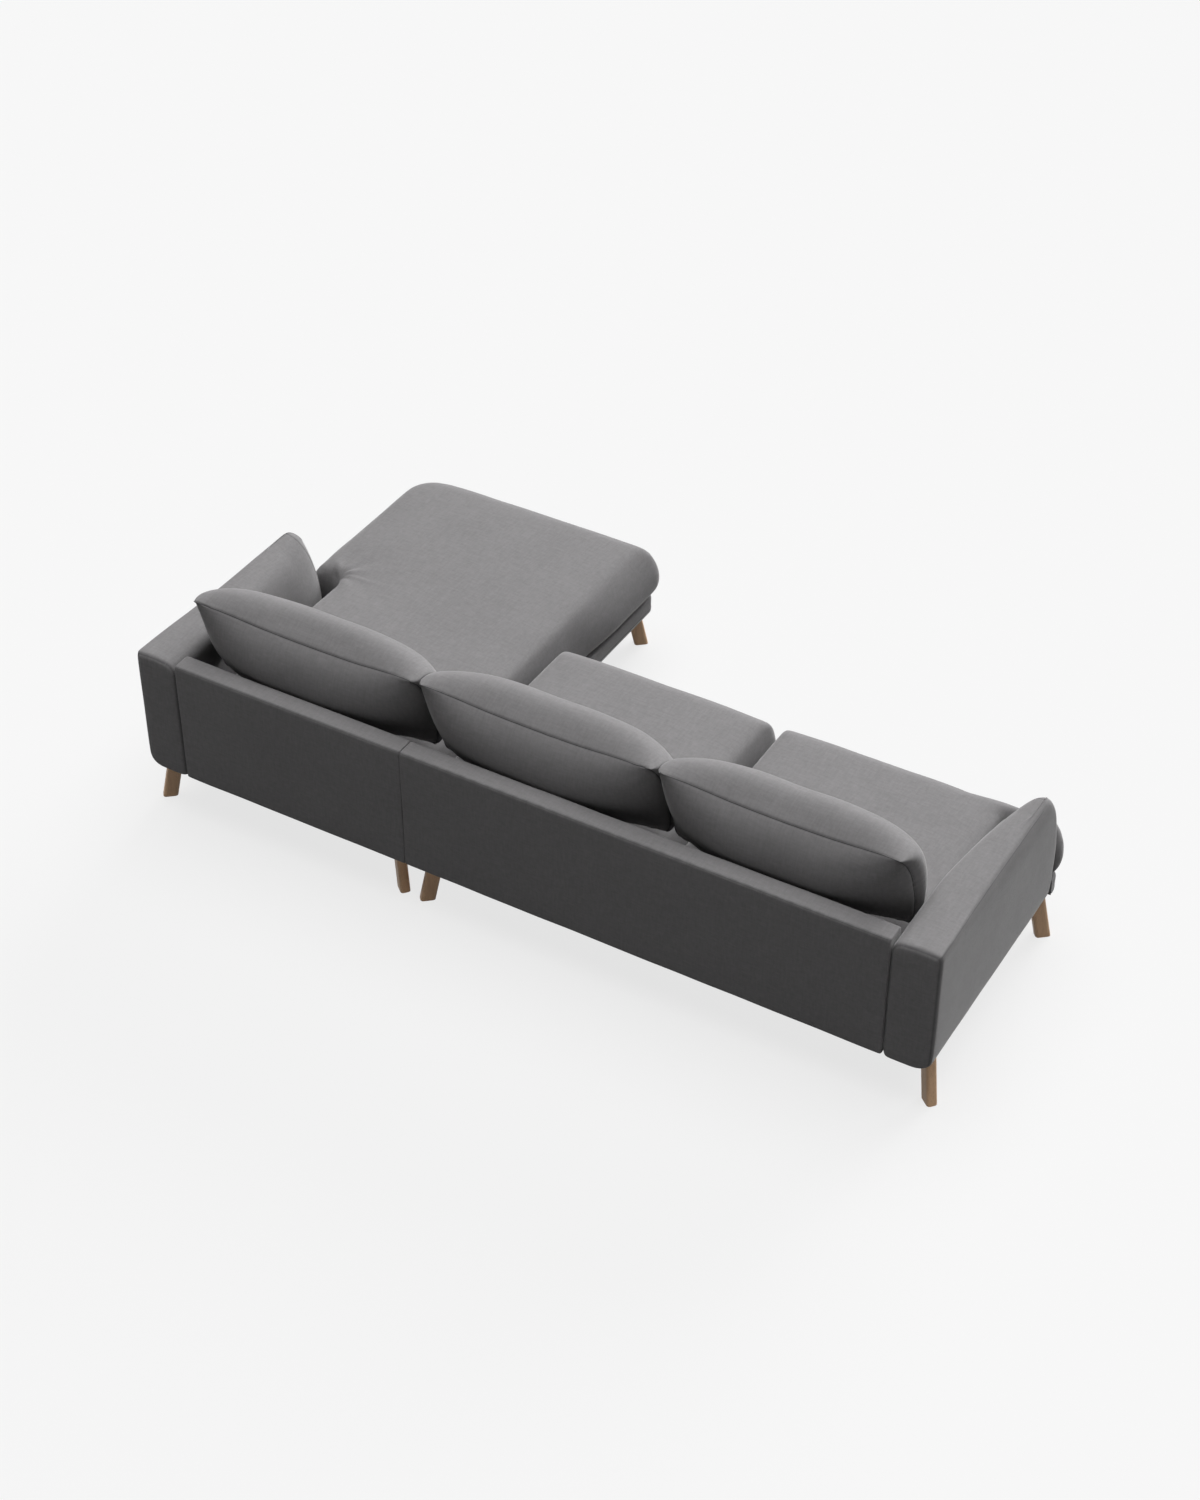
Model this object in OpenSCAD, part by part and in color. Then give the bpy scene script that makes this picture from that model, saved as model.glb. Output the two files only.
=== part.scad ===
// A corner sofa of two modules that are tied side by side: a chaise and a two-seater (settee).
// Front is -Y and up is +Z. The origin is on the floor, in the middle of the width and depth.

/* [Overall] */
// Width over both arms
overall_w = 2640; // [2500:10:2800]
// Depth of the chaise, from its front to its back
chaise_depth = 1524; // [1400:4:1600]
// Depth of the two-seater, from the front of its seat to its back
settee_depth = 920; // [905:5:960]
// Width of the chaise module with its arm
chaise_w = 945; // [900:5:1000]
// Gap between the two modules
module_gap = 3; // [2:1:6]

/* [Base] */
// Thickness of the upholstered base
base_t = 55; // [50:1:70]
// Wall of the base cover, padding and fabric
base_wall = 6; // [4:1:10]
// Thickness of the deck on top of the base
deck_t = 5; // [3:1:6]
// Distance from the front of a seat cushion back to the front of the base
base_back = 24; // [10:2:34]
// Corner radius of the base at the front, seen from above
base_corner = 40; // [24:2:46]
// Thickness of the dust cover under the base
dust_t = 1.5; // [1:0.5:3]

/* [Base frame] */
// Width of the base rails
rail_w = 30; // [26:1:36]
// Cross rails between the front and back rails of the chaise
chaise_cross_n = 3; // [1:1:5]
// Cross rails between the front and back rails of the two-seater
settee_cross_n = 2; // [1:1:4]
// Width of the elastic webbing
web_w = 60; // [40:5:80]
// Thickness of the elastic webbing
web_t = 1.5; // [1:0.5:2]
// Distance between two bands of webbing, centre to centre
web_pitch = 135; // [120:5:200]

/* [Back panels] */
// Thickness of a back panel
panel_t = 68; // [62:1:90]
// Height of a back panel
panel_h = 425; // [380:5:460]
// Edge radius of a back panel
panel_r = 9; // [5:1:12]
// Padding over the wooden frame of a back panel
panel_pad = 12; // [10:1:14]
// Width of the wooden members in a back panel
back_wood_w = 45; // [40:1:60]
// Distance between the posts in a back panel
back_post_pitch = 500; // [350:10:700]

/* [Arms] */
// Width of an arm
arm_w = 147; // [140:1:170]
// Depth of an arm
arm_depth = 834; // [810:2:850]
// Height of an arm
arm_h = 425; // [400:5:450]
// Radius of the inner top edge at the back of an arm
arm_top_r = 48; // [30:2:60]
// Width of the swept inner edge at the front of an arm
arm_sweep_w = 128; // [100:2:130]
// Height of the swept inner edge at the front of an arm
arm_sweep_h = 320; // [240:5:330]
// Length over which the sweep grows towards the front
arm_sweep_l = 560; // [400:10:600]
// Radius of the lower outer edge of an arm
arm_low_r = 30; // [20:2:34]
// How far the top of the front end of an arm stands back from its fullest line
arm_slant = 62; // [0:2:70]
// How far the bottom of the front end stands back from that line
arm_tuck = 20; // [0:2:24]
// Radius of the top and the inner foot of the front end of an arm
arm_front_r = 46; // [36:2:52]
// Radius of the outer edge of the front end
arm_nose_r = 22; // [12:2:30]
// How far the inner side is drawn in at the front end
arm_wing_w = 98; // [60:2:100]
// Length over which the inner side is drawn in
arm_wing_l = 200; // [120:10:240]
// Radius of the back end of an arm
arm_back_r = 14; // [8:1:14]
// Width of the bottom board in an arm
arm_board_w = 78; // [70:1:80]
// Thickness of the bottom board in an arm
arm_board_t = 36; // [30:1:40]
// Width of the posts and of the top rail in an arm
arm_wood_w = 45; // [40:1:50]
// Padding over the top rail in an arm
arm_pad = 65; // [60:1:80]

/* [Seat cushions] */
// Height of a seat cushion at the edge of its top
seat_h = 202; // [190:2:220]
// How far the crown of a seat cushion rises over that edge
seat_crown = 18; // [6:1:24]
// Height of the fullest line of a seat cushion over its bottom
seat_belly_h = 60; // [50:2:90]
// How far the top of a seat cushion rolls in at the front
seat_front_roll = 96; // [60:2:110]
// How far the bottom of a seat cushion is drawn in
seat_draw = 34; // [20:2:44]
// How far the top rolls in at the sides and the back
seat_side_roll = 40; // [24:2:50]
// How far the top rolls in at a side that nothing stands beside
seat_free_roll = 84; // [50:2:90]
// How far such a side spreads out towards the front end of the chaise
seat_free_spread = 12; // [0:1:16]
// Radius of the front corner beside an arm, seen from above
seat_corner = 150; // [100:5:160]
// Radius of the other front corners, seen from above
seat_small_corner = 56; // [40:2:80]
// How far the chaise cushion reaches past the outer side of its arm, in front of it
chaise_ear_out = -10; // [-20:2:10]
// How far the end cushion reaches past the outer side of its arm, in front of it
settee_ear_out = 8; // [-20:2:14]
// Space between a seat cushion and what stands beside it
seat_gap = 2; // [1:0.5:4]
// Padding and cover round the foam of a seat cushion
seat_pad = 62; // [56:1:70]

/* [Back cushions] */
// Height of a back cushion from its bottom seam to its top corners
pillow_h = 366; // [330:2:400]
// How far a back cushion leans back, in degrees
pillow_lean = 19; // [14:1:26]
// How far the front of a back cushion swells
pillow_front = 128; // [90:2:150]
// How far the back of a back cushion swells
pillow_back = 84; // [60:2:100]
// How much the swelling fans upwards at the top, in degrees
pillow_fan = 20; // [0:1:30]
// How far the middle of the top seam drops below the corners
pillow_dip = 24; // [0:2:40]
// How far the middle of a side seam is drawn in
pillow_waist = 18; // [0:2:30]
// Height of the bottom seam over the seat
pillow_foot = 4; // [2:1:12]
// Padding and cover round the filling of a back cushion
pillow_pad = 24; // [20:1:30]

/* [Legs] */
// Height of a wooden leg
leg_h = 162; // [140:2:200]
// Width of a leg
leg_w = 46; // [38:1:50]
// Thickness of a leg
leg_t = 32; // [26:1:40]
// Edge radius of a leg
leg_r = 9; // [4:1:12]
// How far the foot stands out sideways from the top of its leg
leg_splay_x = 26; // [10:1:32]
// How far the foot stands out to the front or back from the top of its leg
leg_splay_y = 22; // [10:1:28]
// Distance from the outer side of an arm to the bolt of a leg under it
leg_arm_in = 42; // [40:1:50]
// Distance from the inner side of the chaise to the bolts of its inner legs
chaise_leg_in = 78; // [70:1:100]
// Distance from the inner side of the two-seater to the bolts of its inner legs
settee_leg_in = 56; // [52:1:90]

/* [Fasteners] */
// Diameter of the bolts
bolt_d = 8; // [6:1:8]
// Width of a bolt head across its corners
head_w = 15; // [13:1:18]
// Height of a bolt head
head_h = 5; // [4:0.5:7]
// Depth of a bolt in the last piece that it holds
bolt_grip = 28; // [20:1:30]
// Bolts that hold one arm
arm_bolt_n = 2; // [2:1:4]
// Distance between the bolts that hold a back panel
back_bolt_pitch = 840; // [400:20:900]
// Width of the plates that tie the modules together
tie_w = 40; // [30:2:60]
// Thickness of the plates that tie the modules together
tie_t = 4; // [3:0.5:6]
// Clearance between pieces that fit into each other
fit = 0.3; // [0.2:0.1:0.5]

/* [Hidden] */

FABRIC = [0.42, 0.42, 0.43];
WOOD = [0.66, 0.46, 0.32];
PINE = [0.80, 0.66, 0.46];
STEEL = [0.62, 0.63, 0.65];
BLACK = [0.12, 0.12, 0.13];
FOAM = [0.90, 0.86, 0.70];

// Reach of a cut past the face that it opens
cut = 1;

// The two modules, as the modules and functions below tell them apart
CHAISE = true;
SETTEE = false;

// Levels
under_z = leg_h + fit;
deck_z = under_z + base_t;
rail_z = under_z + dust_t + fit;
rail_top = deck_z - deck_t - fit - 2 * web_t;
bolt_z = (rail_z + rail_top) / 2;
seat_z = deck_z + fit;
seat_top = seat_z + seat_h + seat_crown;

// Places along the depth
back_y = chaise_depth / 2;
panel_y = back_y - panel_t;
arm_y = back_y - arm_depth;
notch_y = arm_y - seat_gap;
seat_back_y = panel_y - seat_gap;
function seat_front(chaise) = back_y - (chaise ? chaise_depth : settee_depth);
function base_front(chaise) = seat_front(chaise) + base_back;

// Places along the width. Each module is drawn with x from its inner side towards its arm.
function module_w(chaise) = (chaise ? chaise_w : overall_w - chaise_w) - module_gap / 2;
function arm_x(chaise) = module_w(chaise) - arm_w;
// The ear of the base ends just inside the outer side of the arm
ear_in = 4;
function ear_x(chaise) = module_w(chaise) - ear_in;
seam_x = arm_x(SETTEE) / 2;

// The rails stand just inside the wall of the base cover
wall = base_wall + fit;
hole_d = bolt_d + 2 * fit;
punch_d = bolt_d + 4 * fit;
arm_board_x = 42;

// Puts a module in its place: the chaise at +X, the two-seater mirrored at -X
module place(chaise)
  translate([overall_w / 2 - chaise_w + (chaise ? 1 : -1) * module_gap / 2, 0, 0])
    mirror([chaise ? 0 : 1, 0, 0]) children();

// Curves

function unit(v) = v / norm(v);
// Points round a right-angled corner at p, between the points before and after it
function corner(before, p, after, r, n) =
  let (in = unit(p - before), out = unit(after - p), c = p - r * in + r * out)
  r <= 0 ? [p] : [for (k = [0:n]) c + r * (sin(90 * k / n) * in - cos(90 * k / n) * out)];
// A closed outline whose corners have their own radii
function rounded(points, radii, n = 6) =
  let (m = len(points))
  [for (i = [0:m - 1]) each corner(points[(i + m - 1) % m], points[i], points[(i + 1) % m], radii[i], n)];
function box_points(x0, y0, x1, y1) = [[x0, y0], [x1, y0], [x1, y1], [x0, y1]];

// How far a rounded end of radius r is drawn in at the distance e from the end
function end_inset(e, r) = e >= r ? 0 : r - sqrt(max(0, r * r - (r - e) * (r - e)));
function smooth(t) = let (c = min(1, max(0, t))) c * c * (3 - 2 * c);
function sorted(v) = len(v) < 2 ? v :
  let (p = v[0], rest = [for (i = [1:len(v) - 1]) v[i]])
  concat(sorted([for (a = rest) if (a < p) a]), [p], sorted([for (a = rest) if (a >= p) a]));
// Values in order, without those that are nearer than d to the one after them
function spread(v, d) = let (s = sorted(v))
  [for (i = [0:len(s) - 1]) if (i == len(s) - 1 || s[i + 1] - s[i] > d) s[i]];
function backwards(v) = [for (i = [len(v) - 1:-1:0]) v[i]];
// Triangles over a ring of m points that go up one side and down the other, like a ladder
function ladder(m) = [for (j = [0:ceil(m / 2) - 2])
  let (a = j, b = j + 1, c = m - 2 - j, d = m - 1 - j)
  each concat([[a, b, d]], b < c ? [[b, c, d]] : [])];
// A closed skin over rings of equally many points
module skin(rings) {
  n = len(rings);
  m = len(rings[0]);
  last = (n - 1) * m;
  sides = [for (i = [0:n - 2], j = [0:m - 1])
    let (a = i * m + j, b = i * m + (j + 1) % m)
    each [[a, b, b + m], [a, b + m, a + m]]];
  first_end = [for (t = ladder(m)) backwards(t)];
  last_end = [for (t = ladder(m)) [for (k = t) k + last]];
  polyhedron([for (r = rings) each r], concat(sides, first_end, last_end), convexity = 6);
}

// Small pieces that repeat

module bar(x0, y0, z0, x1, y1, z1, grow = 0)
  translate([x0 - grow, y0 - grow, z0 - grow])
    cube([x1 - x0 + 2 * grow, y1 - y0 + 2 * grow, z1 - z0 + 2 * grow]);
module slab(points, z0, z1) translate([0, 0, z0]) linear_extrude(z1 - z0) polygon(points);
// Round rods and bores along each of the three directions. Holes that are punched through
// cloth, and the blind holes that the bolts cut their thread in, have fewer sides.
round_sides = 16;
punched_sides = 8;
thread_sides = 12;
module rod(length, d, sides) cylinder(d = d, h = length, $fn = sides);
module upright(p, z0, z1, d, sides = round_sides)
  translate([p[0], p[1], z0]) rod(z1 - z0, d, sides);
module along_x(x0, x1, y, z, d, sides = round_sides)
  translate([x0, y, z]) rotate([0, 90, 0]) rod(x1 - x0, d, sides);
module along_y(x, y0, y1, z, d, sides = round_sides)
  translate([x, y0, z]) rotate([-90, 0, 0]) rod(y1 - y0, d, sides);
// A hexagonal bolt head whose flat side touches z = 0 and which stands up from it
module head() cylinder(d = head_w, h = head_h, $fn = 6);

// Bolts: where they stand

// Rails of the base, from the outside in
function front_rail_y(chaise) = base_front(chaise) + wall;
back_rail_y = panel_y - wall - rail_w;
leg_front_in = 20;
leg_ear_in = 70;
leg_back_in = 10;
leg_arm_front_in = 12;
leg_back_y = back_rail_y + rail_w - leg_back_in;
arm_leg_y = arm_y + leg_arm_front_in;
// Legs of a module: the place of the bolt and the way that the foot splays
function legs(chaise) = [
  [[module_w(chaise) - leg_arm_in, leg_back_y], [1, 1]],
  [[leg_side(chaise), leg_back_y], [-1, 1]],
  chaise ? [[ear_x(chaise) - leg_ear_in, front_rail_y(chaise) + leg_front_in], [1, -1]]
         : [[module_w(chaise) - leg_arm_in, arm_leg_y], [1, -1]],
  [[leg_side(chaise), chaise ? front_rail_y(chaise) + leg_front_in : arm_leg_y], [-1, -1]]];
function leg_side(chaise) = chaise ? chaise_leg_in : settee_leg_in;
// Numbers of the legs that are bolted to the arm's board
function arm_legs(chaise) = chaise ? [0] : [0, 2];
function base_legs(chaise) = chaise ? [1, 2, 3] : [1, 3];

arm_bolt_end = 90;
function arm_bolts() = [for (i = [0:arm_bolt_n - 1])
  arm_y + arm_bolt_end + (arm_depth - panel_t - 2 * arm_bolt_end) * i / (arm_bolt_n - 1)];
back_bolt_end = 150;
function back_bolts(chaise) =
  let (run = arm_x(chaise) - 2 * back_bolt_end, n = max(1, round(run / back_bolt_pitch)))
  [for (i = [0:n]) back_bolt_end + run * i / n];
tie_x = wall + rail_w / 2;
tie_gap = 25;
tie_step = (leg_w + tie_w) / 2 + tie_gap;
tie_ys = [arm_leg_y + tie_step, leg_back_y - tie_step];

module leg_bolt_holes(chaise, which, z0, z1, d = hole_d, sides = round_sides)
  for (i = which) upright(legs(chaise)[i][0], z0, z1, d, sides);
module arm_bolt_holes(chaise, x0, x1, d = hole_d, sides = round_sides)
  for (y = arm_bolts()) along_x(x0, x1, y, bolt_z, d, sides);
module arm_bolt_heads(chaise)
  for (y = arm_bolts())
    along_x(arm_x(chaise) - wall - rail_w - head_h - fit, arm_x(chaise) - wall - rail_w + cut,
            y, bolt_z, head_w + 2 * fit);
module back_bolt_holes(chaise, y0, y1, d = hole_d, sides = round_sides)
  for (x = back_bolts(chaise)) along_y(x, y0, y1, bolt_z, d, sides);
module tie_holes(z0, z1, d = hole_d, sides = round_sides)
  for (y = tie_ys) upright([tie_x, y], z0, z1, d, sides);

// Base

// Outline of the base, drawn in by an inset: a rectangle with an ear in front of the arm
function base_outline(chaise, inset) =
  let (x0 = inset, x1 = arm_x(chaise) - inset, x2 = ear_x(chaise) - inset,
       y0 = base_front(chaise) + inset, y1 = notch_y - inset, y2 = panel_y - inset,
       r = base_corner - inset)
  rounded([[x0, y0], [x2, y0], [x2, y1], [x1, y1], [x1, y2], [x0, y2]], [r, r, 0, 0, 0, 0]);

module base_cover(chaise) color(FABRIC) difference() {
  slab(base_outline(chaise, 0), under_z, deck_z);
  slab(base_outline(chaise, base_wall), under_z - cut, deck_z - deck_t);
  arm_bolt_holes(chaise, arm_x(chaise) - base_wall - cut, arm_x(chaise) + cut, punch_d, punched_sides);
  back_bolt_holes(chaise, panel_y - base_wall - cut, panel_y + cut, punch_d, punched_sides);
}

module side_rails(chaise) color(PINE) difference() {
  x1 = arm_x(chaise) - wall;
  x2 = ear_x(chaise) - wall;
  front = base_front(chaise) + max(wall + rail_w, base_corner);
  union() {
    bar(wall, front, rail_z, wall + rail_w, back_rail_y, rail_top);
    bar(x1 - rail_w, front, rail_z, x1, back_rail_y, rail_top);
    if (chaise) bar(x2 - rail_w, front, rail_z, x2, notch_y - wall, rail_top);
  }
  tie_holes(rail_z - cut, rail_z + bolt_grip + cut);
  arm_bolt_holes(chaise, x1 - rail_w - cut, x1 + cut);
}

function cross_n(chaise) = chaise ? chaise_cross_n : settee_cross_n;
module cross_rails(chaise) color(PINE) difference() {
  x1 = arm_x(chaise) - wall;
  x2 = ear_x(chaise) - wall;
  front = front_rail_y(chaise);
  span = back_rail_y - front;
  union() {
    bar(base_corner, front, rail_z, x2 + wall - base_corner, front + rail_w, rail_top);
    bar(wall, back_rail_y, rail_z, x1, back_rail_y + rail_w, rail_top);
    for (i = [1:cross_n(chaise)])
      translate([0, front + span * i / (cross_n(chaise) + 1), 0])
        bar(wall + rail_w, 0, rail_z, x1 - rail_w, rail_w, rail_top);
    if (chaise) bar(x1, notch_y - wall - rail_w, rail_z, x2 - rail_w, notch_y - wall, rail_top);
  }
  leg_bolt_holes(chaise, base_legs(chaise), rail_z - cut, rail_z + bolt_grip + cut);
  arm_bolt_heads(chaise);
  back_bolt_holes(chaise, back_rail_y - cut, back_rail_y + rail_w + cut);
}

// The inner front leg of the two-seater stands behind the front rail, in a block of its own
block_w = 80;
module leg_block() color(PINE) difference() {
  front = front_rail_y(SETTEE) + rail_w;
  side = wall + rail_w;
  bar(side, front, rail_z, side + block_w, front + block_w, rail_top);
  leg_bolt_holes(SETTEE, [3], rail_z - cut, rail_z + bolt_grip + cut);
}

// Starts of bands that are spread evenly between two places, about a pitch apart
function bands(from, to) =
  let (n = floor((to - from - web_w) / web_pitch), step = (to - from - web_w) / (n + 1))
  [for (i = [0:n]) from + step * (i + 0.5)];
web_end = 8;
module long_webbing(chaise) color(BLACK) {
  front = front_rail_y(chaise) + web_end;
  back = back_rail_y + rail_w - web_end;
  for (x = bands(wall + rail_w, arm_x(chaise) - wall - rail_w))
    bar(x, front, rail_top, x + web_w, back, rail_top + web_t);
}
module cross_webbing(chaise) color(BLACK) {
  x0 = wall + web_end;
  x1 = arm_x(chaise) - wall - web_end;
  for (y = bands(front_rail_y(chaise) + rail_w, back_rail_y))
    bar(x0, y, rail_top + web_t, x1, y + web_w, rail_top + 2 * web_t);
}

module dust_cover(chaise) color(BLACK) difference() {
  slab(base_outline(chaise, wall), under_z, under_z + dust_t);
  leg_bolt_holes(chaise, base_legs(chaise), under_z - cut, under_z + dust_t + cut, punch_d, punched_sides);
  tie_holes(under_z - cut, under_z + dust_t + cut, punch_d, punched_sides);
}

// Arm

// Height of the fullest line of the front end, and the length over which the slant fades away
arm_belly_z = under_z + 115;
arm_slant_l = 300;
// How far the section at the depth y stands back at the height z
function arm_shift(y, z) =
  let (t = z > arm_belly_z ? (z - arm_belly_z) / (under_z + arm_h - arm_belly_z) : 0,
       b = z < arm_belly_z ? (arm_belly_z - z) / (arm_belly_z - under_z) : 0)
  (arm_slant * t * t + arm_tuck * b * b) * smooth((arm_y + arm_slant_l - y) / arm_slant_l);

// Steps round the lower edges and round the swept upper edge of a section, in degrees
arm_low_steps = [0, 45, 90];
arm_top_steps = [0, 15, 30, 45, 60, 75, 90];
arm_edge_r = 8;
arm_ridge = 2;
// Levels of an arm's section at the depth y, from the bottom up: height, inner and outer side.
// The inner top edge sweeps down towards the front.
function arm_levels(chaise, y) =
  let (e = y - arm_y, back_d = end_inset(back_y - y, arm_back_r), d = end_inset(e, arm_front_r),
       k = smooth((arm_sweep_l - e) / arm_sweep_l), low = arm_low_r - d / 2,
       x0 = arm_x(chaise) + back_d + d,
       wing_x = arm_x(chaise) + back_d + end_inset(e / arm_wing_l, 1) * arm_wing_w,
       x1 = module_w(chaise) - back_d - end_inset(e, arm_nose_r),
       z0 = under_z + (d + back_d) / 3, z1 = under_z + arm_h - d - back_d,
       room = x1 - arm_edge_r - arm_ridge - wing_x,
       rx = min(arm_top_r + (arm_sweep_w - arm_top_r) * k - back_d, room),
       rz = arm_top_r + (arm_sweep_h - arm_top_r) * k - back_d)
  concat(
    [for (a = arm_low_steps)
      [z0 + low * (1 - cos(a)), x0 + arm_edge_r * (1 - sin(a)), x1 - low * (1 - sin(a))]],
    [for (a = arm_top_steps) let (down = rz * (1 - sin(a)))
      [z1 - down, wing_x + rx * (1 - cos(a)), x1 - end_inset(down, arm_edge_r)]]);
// The section as a ring: up the outer side and down the inner side
function arm_ring(chaise, y) =
  let (levels = arm_levels(chaise, y))
  concat(
    [for (l = levels) [l[2], y + arm_shift(y, l[0]), l[0]]],
    [for (l = backwards(levels)) [l[1], y + arm_shift(y, l[0]), l[0]]]);
function arm_ys() = spread(concat(
  [for (b = [0:22.5:90]) arm_y + arm_front_r * (1 - cos(b))],
  [for (b = [0:18:90]) arm_y + arm_wing_l * (1 - cos(b))],
  [for (i = [1:5]) arm_y + arm_wing_l + (arm_sweep_l - arm_wing_l) * i / 5],
  [for (b = [90:-30:0]) back_y - arm_back_r * (1 - cos(b))]), 3);

// Wood of an arm, grown by the clearance where it is cut out of the padding
arm_board_front = 4;
arm_wood_end = 90;
arm_post_n = 3;
arm_rail_z = under_z + arm_h - arm_pad - arm_wood_w;
module arm_board(chaise, grow = 0)
  bar(arm_x(chaise) + arm_board_x, arm_y + arm_board_front, under_z,
      arm_x(chaise) + arm_board_x + arm_board_w, back_y - arm_back_r - fit, under_z + arm_board_t, grow);
function arm_wood_x(chaise) = arm_x(chaise) + arm_board_x + arm_board_w - arm_wood_w;
module arm_rail(chaise, grow = 0)
  bar(arm_wood_x(chaise), arm_y + arm_wood_end, arm_rail_z,
      arm_wood_x(chaise) + arm_wood_w, back_y - arm_wood_end, arm_rail_z + arm_wood_w, grow);
module arm_post(chaise, i, grow = 0)
  translate([0, (arm_depth - 2 * arm_wood_end - arm_wood_w) * i / (arm_post_n - 1), 0])
    bar(arm_wood_x(chaise), arm_y + arm_wood_end, under_z + arm_board_t + fit,
        arm_wood_x(chaise) + arm_wood_w, arm_y + arm_wood_end + arm_wood_w, arm_rail_z - fit, grow);

module arm_cover(chaise) color(FABRIC) difference() {
  skin([for (y = arm_ys()) arm_ring(chaise, y)]);
  arm_board(chaise, fit);
  translate([0, 0, -cut]) arm_board(chaise, fit);
  arm_rail(chaise, fit);
  for (i = [0:arm_post_n - 1]) arm_post(chaise, i, 2 * fit);
  arm_bolt_holes(chaise, arm_x(chaise) - cut, arm_x(chaise) + arm_board_x + cut, punch_d, punched_sides);
}

module arm_rails(chaise) color(PINE) difference() {
  union() {
    arm_board(chaise);
    arm_rail(chaise);
  }
  leg_bolt_holes(chaise, arm_legs(chaise), under_z - cut, under_z + bolt_grip + cut);
  arm_bolt_holes(chaise, arm_x(chaise), arm_x(chaise) + arm_board_x + bolt_grip + cut);
}

module arm_posts(chaise) color(PINE) for (i = [0:arm_post_n - 1]) arm_post(chaise, i);

// Back panel

// Wood of a back panel: a rail above and below, with posts between them
panel_end = 30;
wood_y = panel_y + panel_pad;
wood_t = panel_t - 2 * panel_pad;
panel_rail_z = under_z + panel_h - panel_pad - back_wood_w;
function panel_posts(chaise) =
  let (run = arm_x(chaise) - 2 * panel_end - back_wood_w, n = max(1, round(run / back_post_pitch)))
  [for (i = [0:n]) panel_end + run * i / n];
module back_rail(chaise, z, grow = 0)
  bar(panel_end, wood_y, z, arm_x(chaise) - panel_end, wood_y + wood_t, z + back_wood_w, grow);
module back_post(x, grow = 0)
  bar(x, wood_y, under_z + back_wood_w + fit, x + back_wood_w, wood_y + wood_t, panel_rail_z - fit, grow);

module back_cover(chaise) color(FABRIC) difference() {
  rotate([90, 0, 90]) linear_extrude(arm_x(chaise))
    polygon(rounded(box_points(panel_y, under_z, back_y, under_z + panel_h),
                    [panel_r, panel_r, panel_r, panel_r]));
  back_rail(chaise, under_z, fit);
  back_rail(chaise, under_z - cut, fit);
  back_rail(chaise, panel_rail_z, fit);
  for (x = panel_posts(chaise)) back_post(x, 2 * fit);
  back_bolt_holes(chaise, panel_y - cut, panel_y + panel_pad + cut, punch_d, punched_sides);
}

module back_rails(chaise) color(PINE) difference() {
  union() {
    back_rail(chaise, under_z);
    back_rail(chaise, panel_rail_z);
  }
  back_bolt_holes(chaise, wood_y - cut, wood_y + bolt_grip + cut);
}

module back_posts(chaise) color(PINE) for (x = panel_posts(chaise)) back_post(x);

// Legs

// A leg that leans outwards both ways, cut flat above and below
module leg(chaise, i) color(WOOD) {
  place_xy = legs(chaise)[i][0];
  way = legs(chaise)[i][1];
  heading = atan2(way[1] * leg_splay_y, way[0] * leg_splay_x);
  lean = atan(norm([leg_splay_x, leg_splay_y]) / leg_h);
  r = [leg_r, leg_r, leg_r, leg_r];
  translate([place_xy[0], place_xy[1], 0]) difference() {
    intersection() {
      translate([-2 * leg_w, -2 * leg_w, 0]) cube([4 * leg_w, 4 * leg_w, leg_h]);
      translate([0, 0, leg_h]) rotate([0, -lean, heading]) translate([0, 0, -1.5 * leg_h])
        linear_extrude(2 * leg_h)
          polygon(rounded(box_points(-leg_w / 2, -leg_t / 2, leg_w / 2, leg_t / 2), r, 3));
    }
    upright([0, 0], leg_h - bolt_grip - cut, leg_h + cut, hole_d, thread_sides);
  }
}

module leg_bolts(chaise) color(STEEL) for (leg = legs(chaise))
  upright(leg[0], leg_h - bolt_grip, under_z + bolt_grip, bolt_d);

// Bolts of the arms, the back panels and the ties

module arm_bolts_set(chaise) color(STEEL) for (y = arm_bolts()) {
  x0 = arm_x(chaise) - wall - rail_w;
  along_x(x0, arm_x(chaise) + arm_board_x + bolt_grip, y, bolt_z, bolt_d);
  translate([x0, y, bolt_z]) rotate([0, -90, 0]) head();
}

module back_bolts_set(chaise) color(STEEL) for (x = back_bolts(chaise)) {
  along_y(x, back_rail_y, wood_y + bolt_grip, bolt_z, bolt_d);
  translate([x, back_rail_y, bolt_z]) rotate([90, 0, 0]) head();
}

module tie_plates() color(STEEL) for (y = tie_ys) {
  joint_x = overall_w / 2 - chaise_w;
  reach = module_gap / 2 + tie_x + tie_w / 2;
  difference() {
    translate([joint_x - reach, y - tie_w / 2, under_z - tie_t]) cube([2 * reach, tie_w, tie_t]);
    for (side = [-1, 1])
      upright([joint_x + side * (module_gap / 2 + tie_x), y],
              under_z - tie_t - cut, under_z + cut, hole_d);
  }
}

module tie_bolts() color(STEEL) for (chaise = [CHAISE, SETTEE], y = tie_ys) place(chaise) {
  upright([tie_x, y], under_z - tie_t, under_z + bolt_grip, bolt_d);
  translate([tie_x, y, under_z - tie_t]) rotate([180, 0, 0]) head();
}

// Seat cushions

// Length over which the free side of the chaise cushion comes into its full roll
seat_free_run = 150;
// How far the inner side of a cushion stands out at the depth y. The side of the chaise is
// straight from its back to its front end, level with its module at the front of the settee.
function seat_spread(front, y) =
  front < seat_front(SETTEE) ?
    seat_free_spread * (seat_front(SETTEE) - y) / (seat_front(SETTEE) - front) : 0;
// Height share of a rounded end at the distance e from it, never down to nothing
seat_end_share = 0.3;
function swell(e, r) =
  let (t = min(1, e / r))
  max(seat_end_share, sqrt(max(0, 1 - (1 - t) * (1 - t))));

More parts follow.
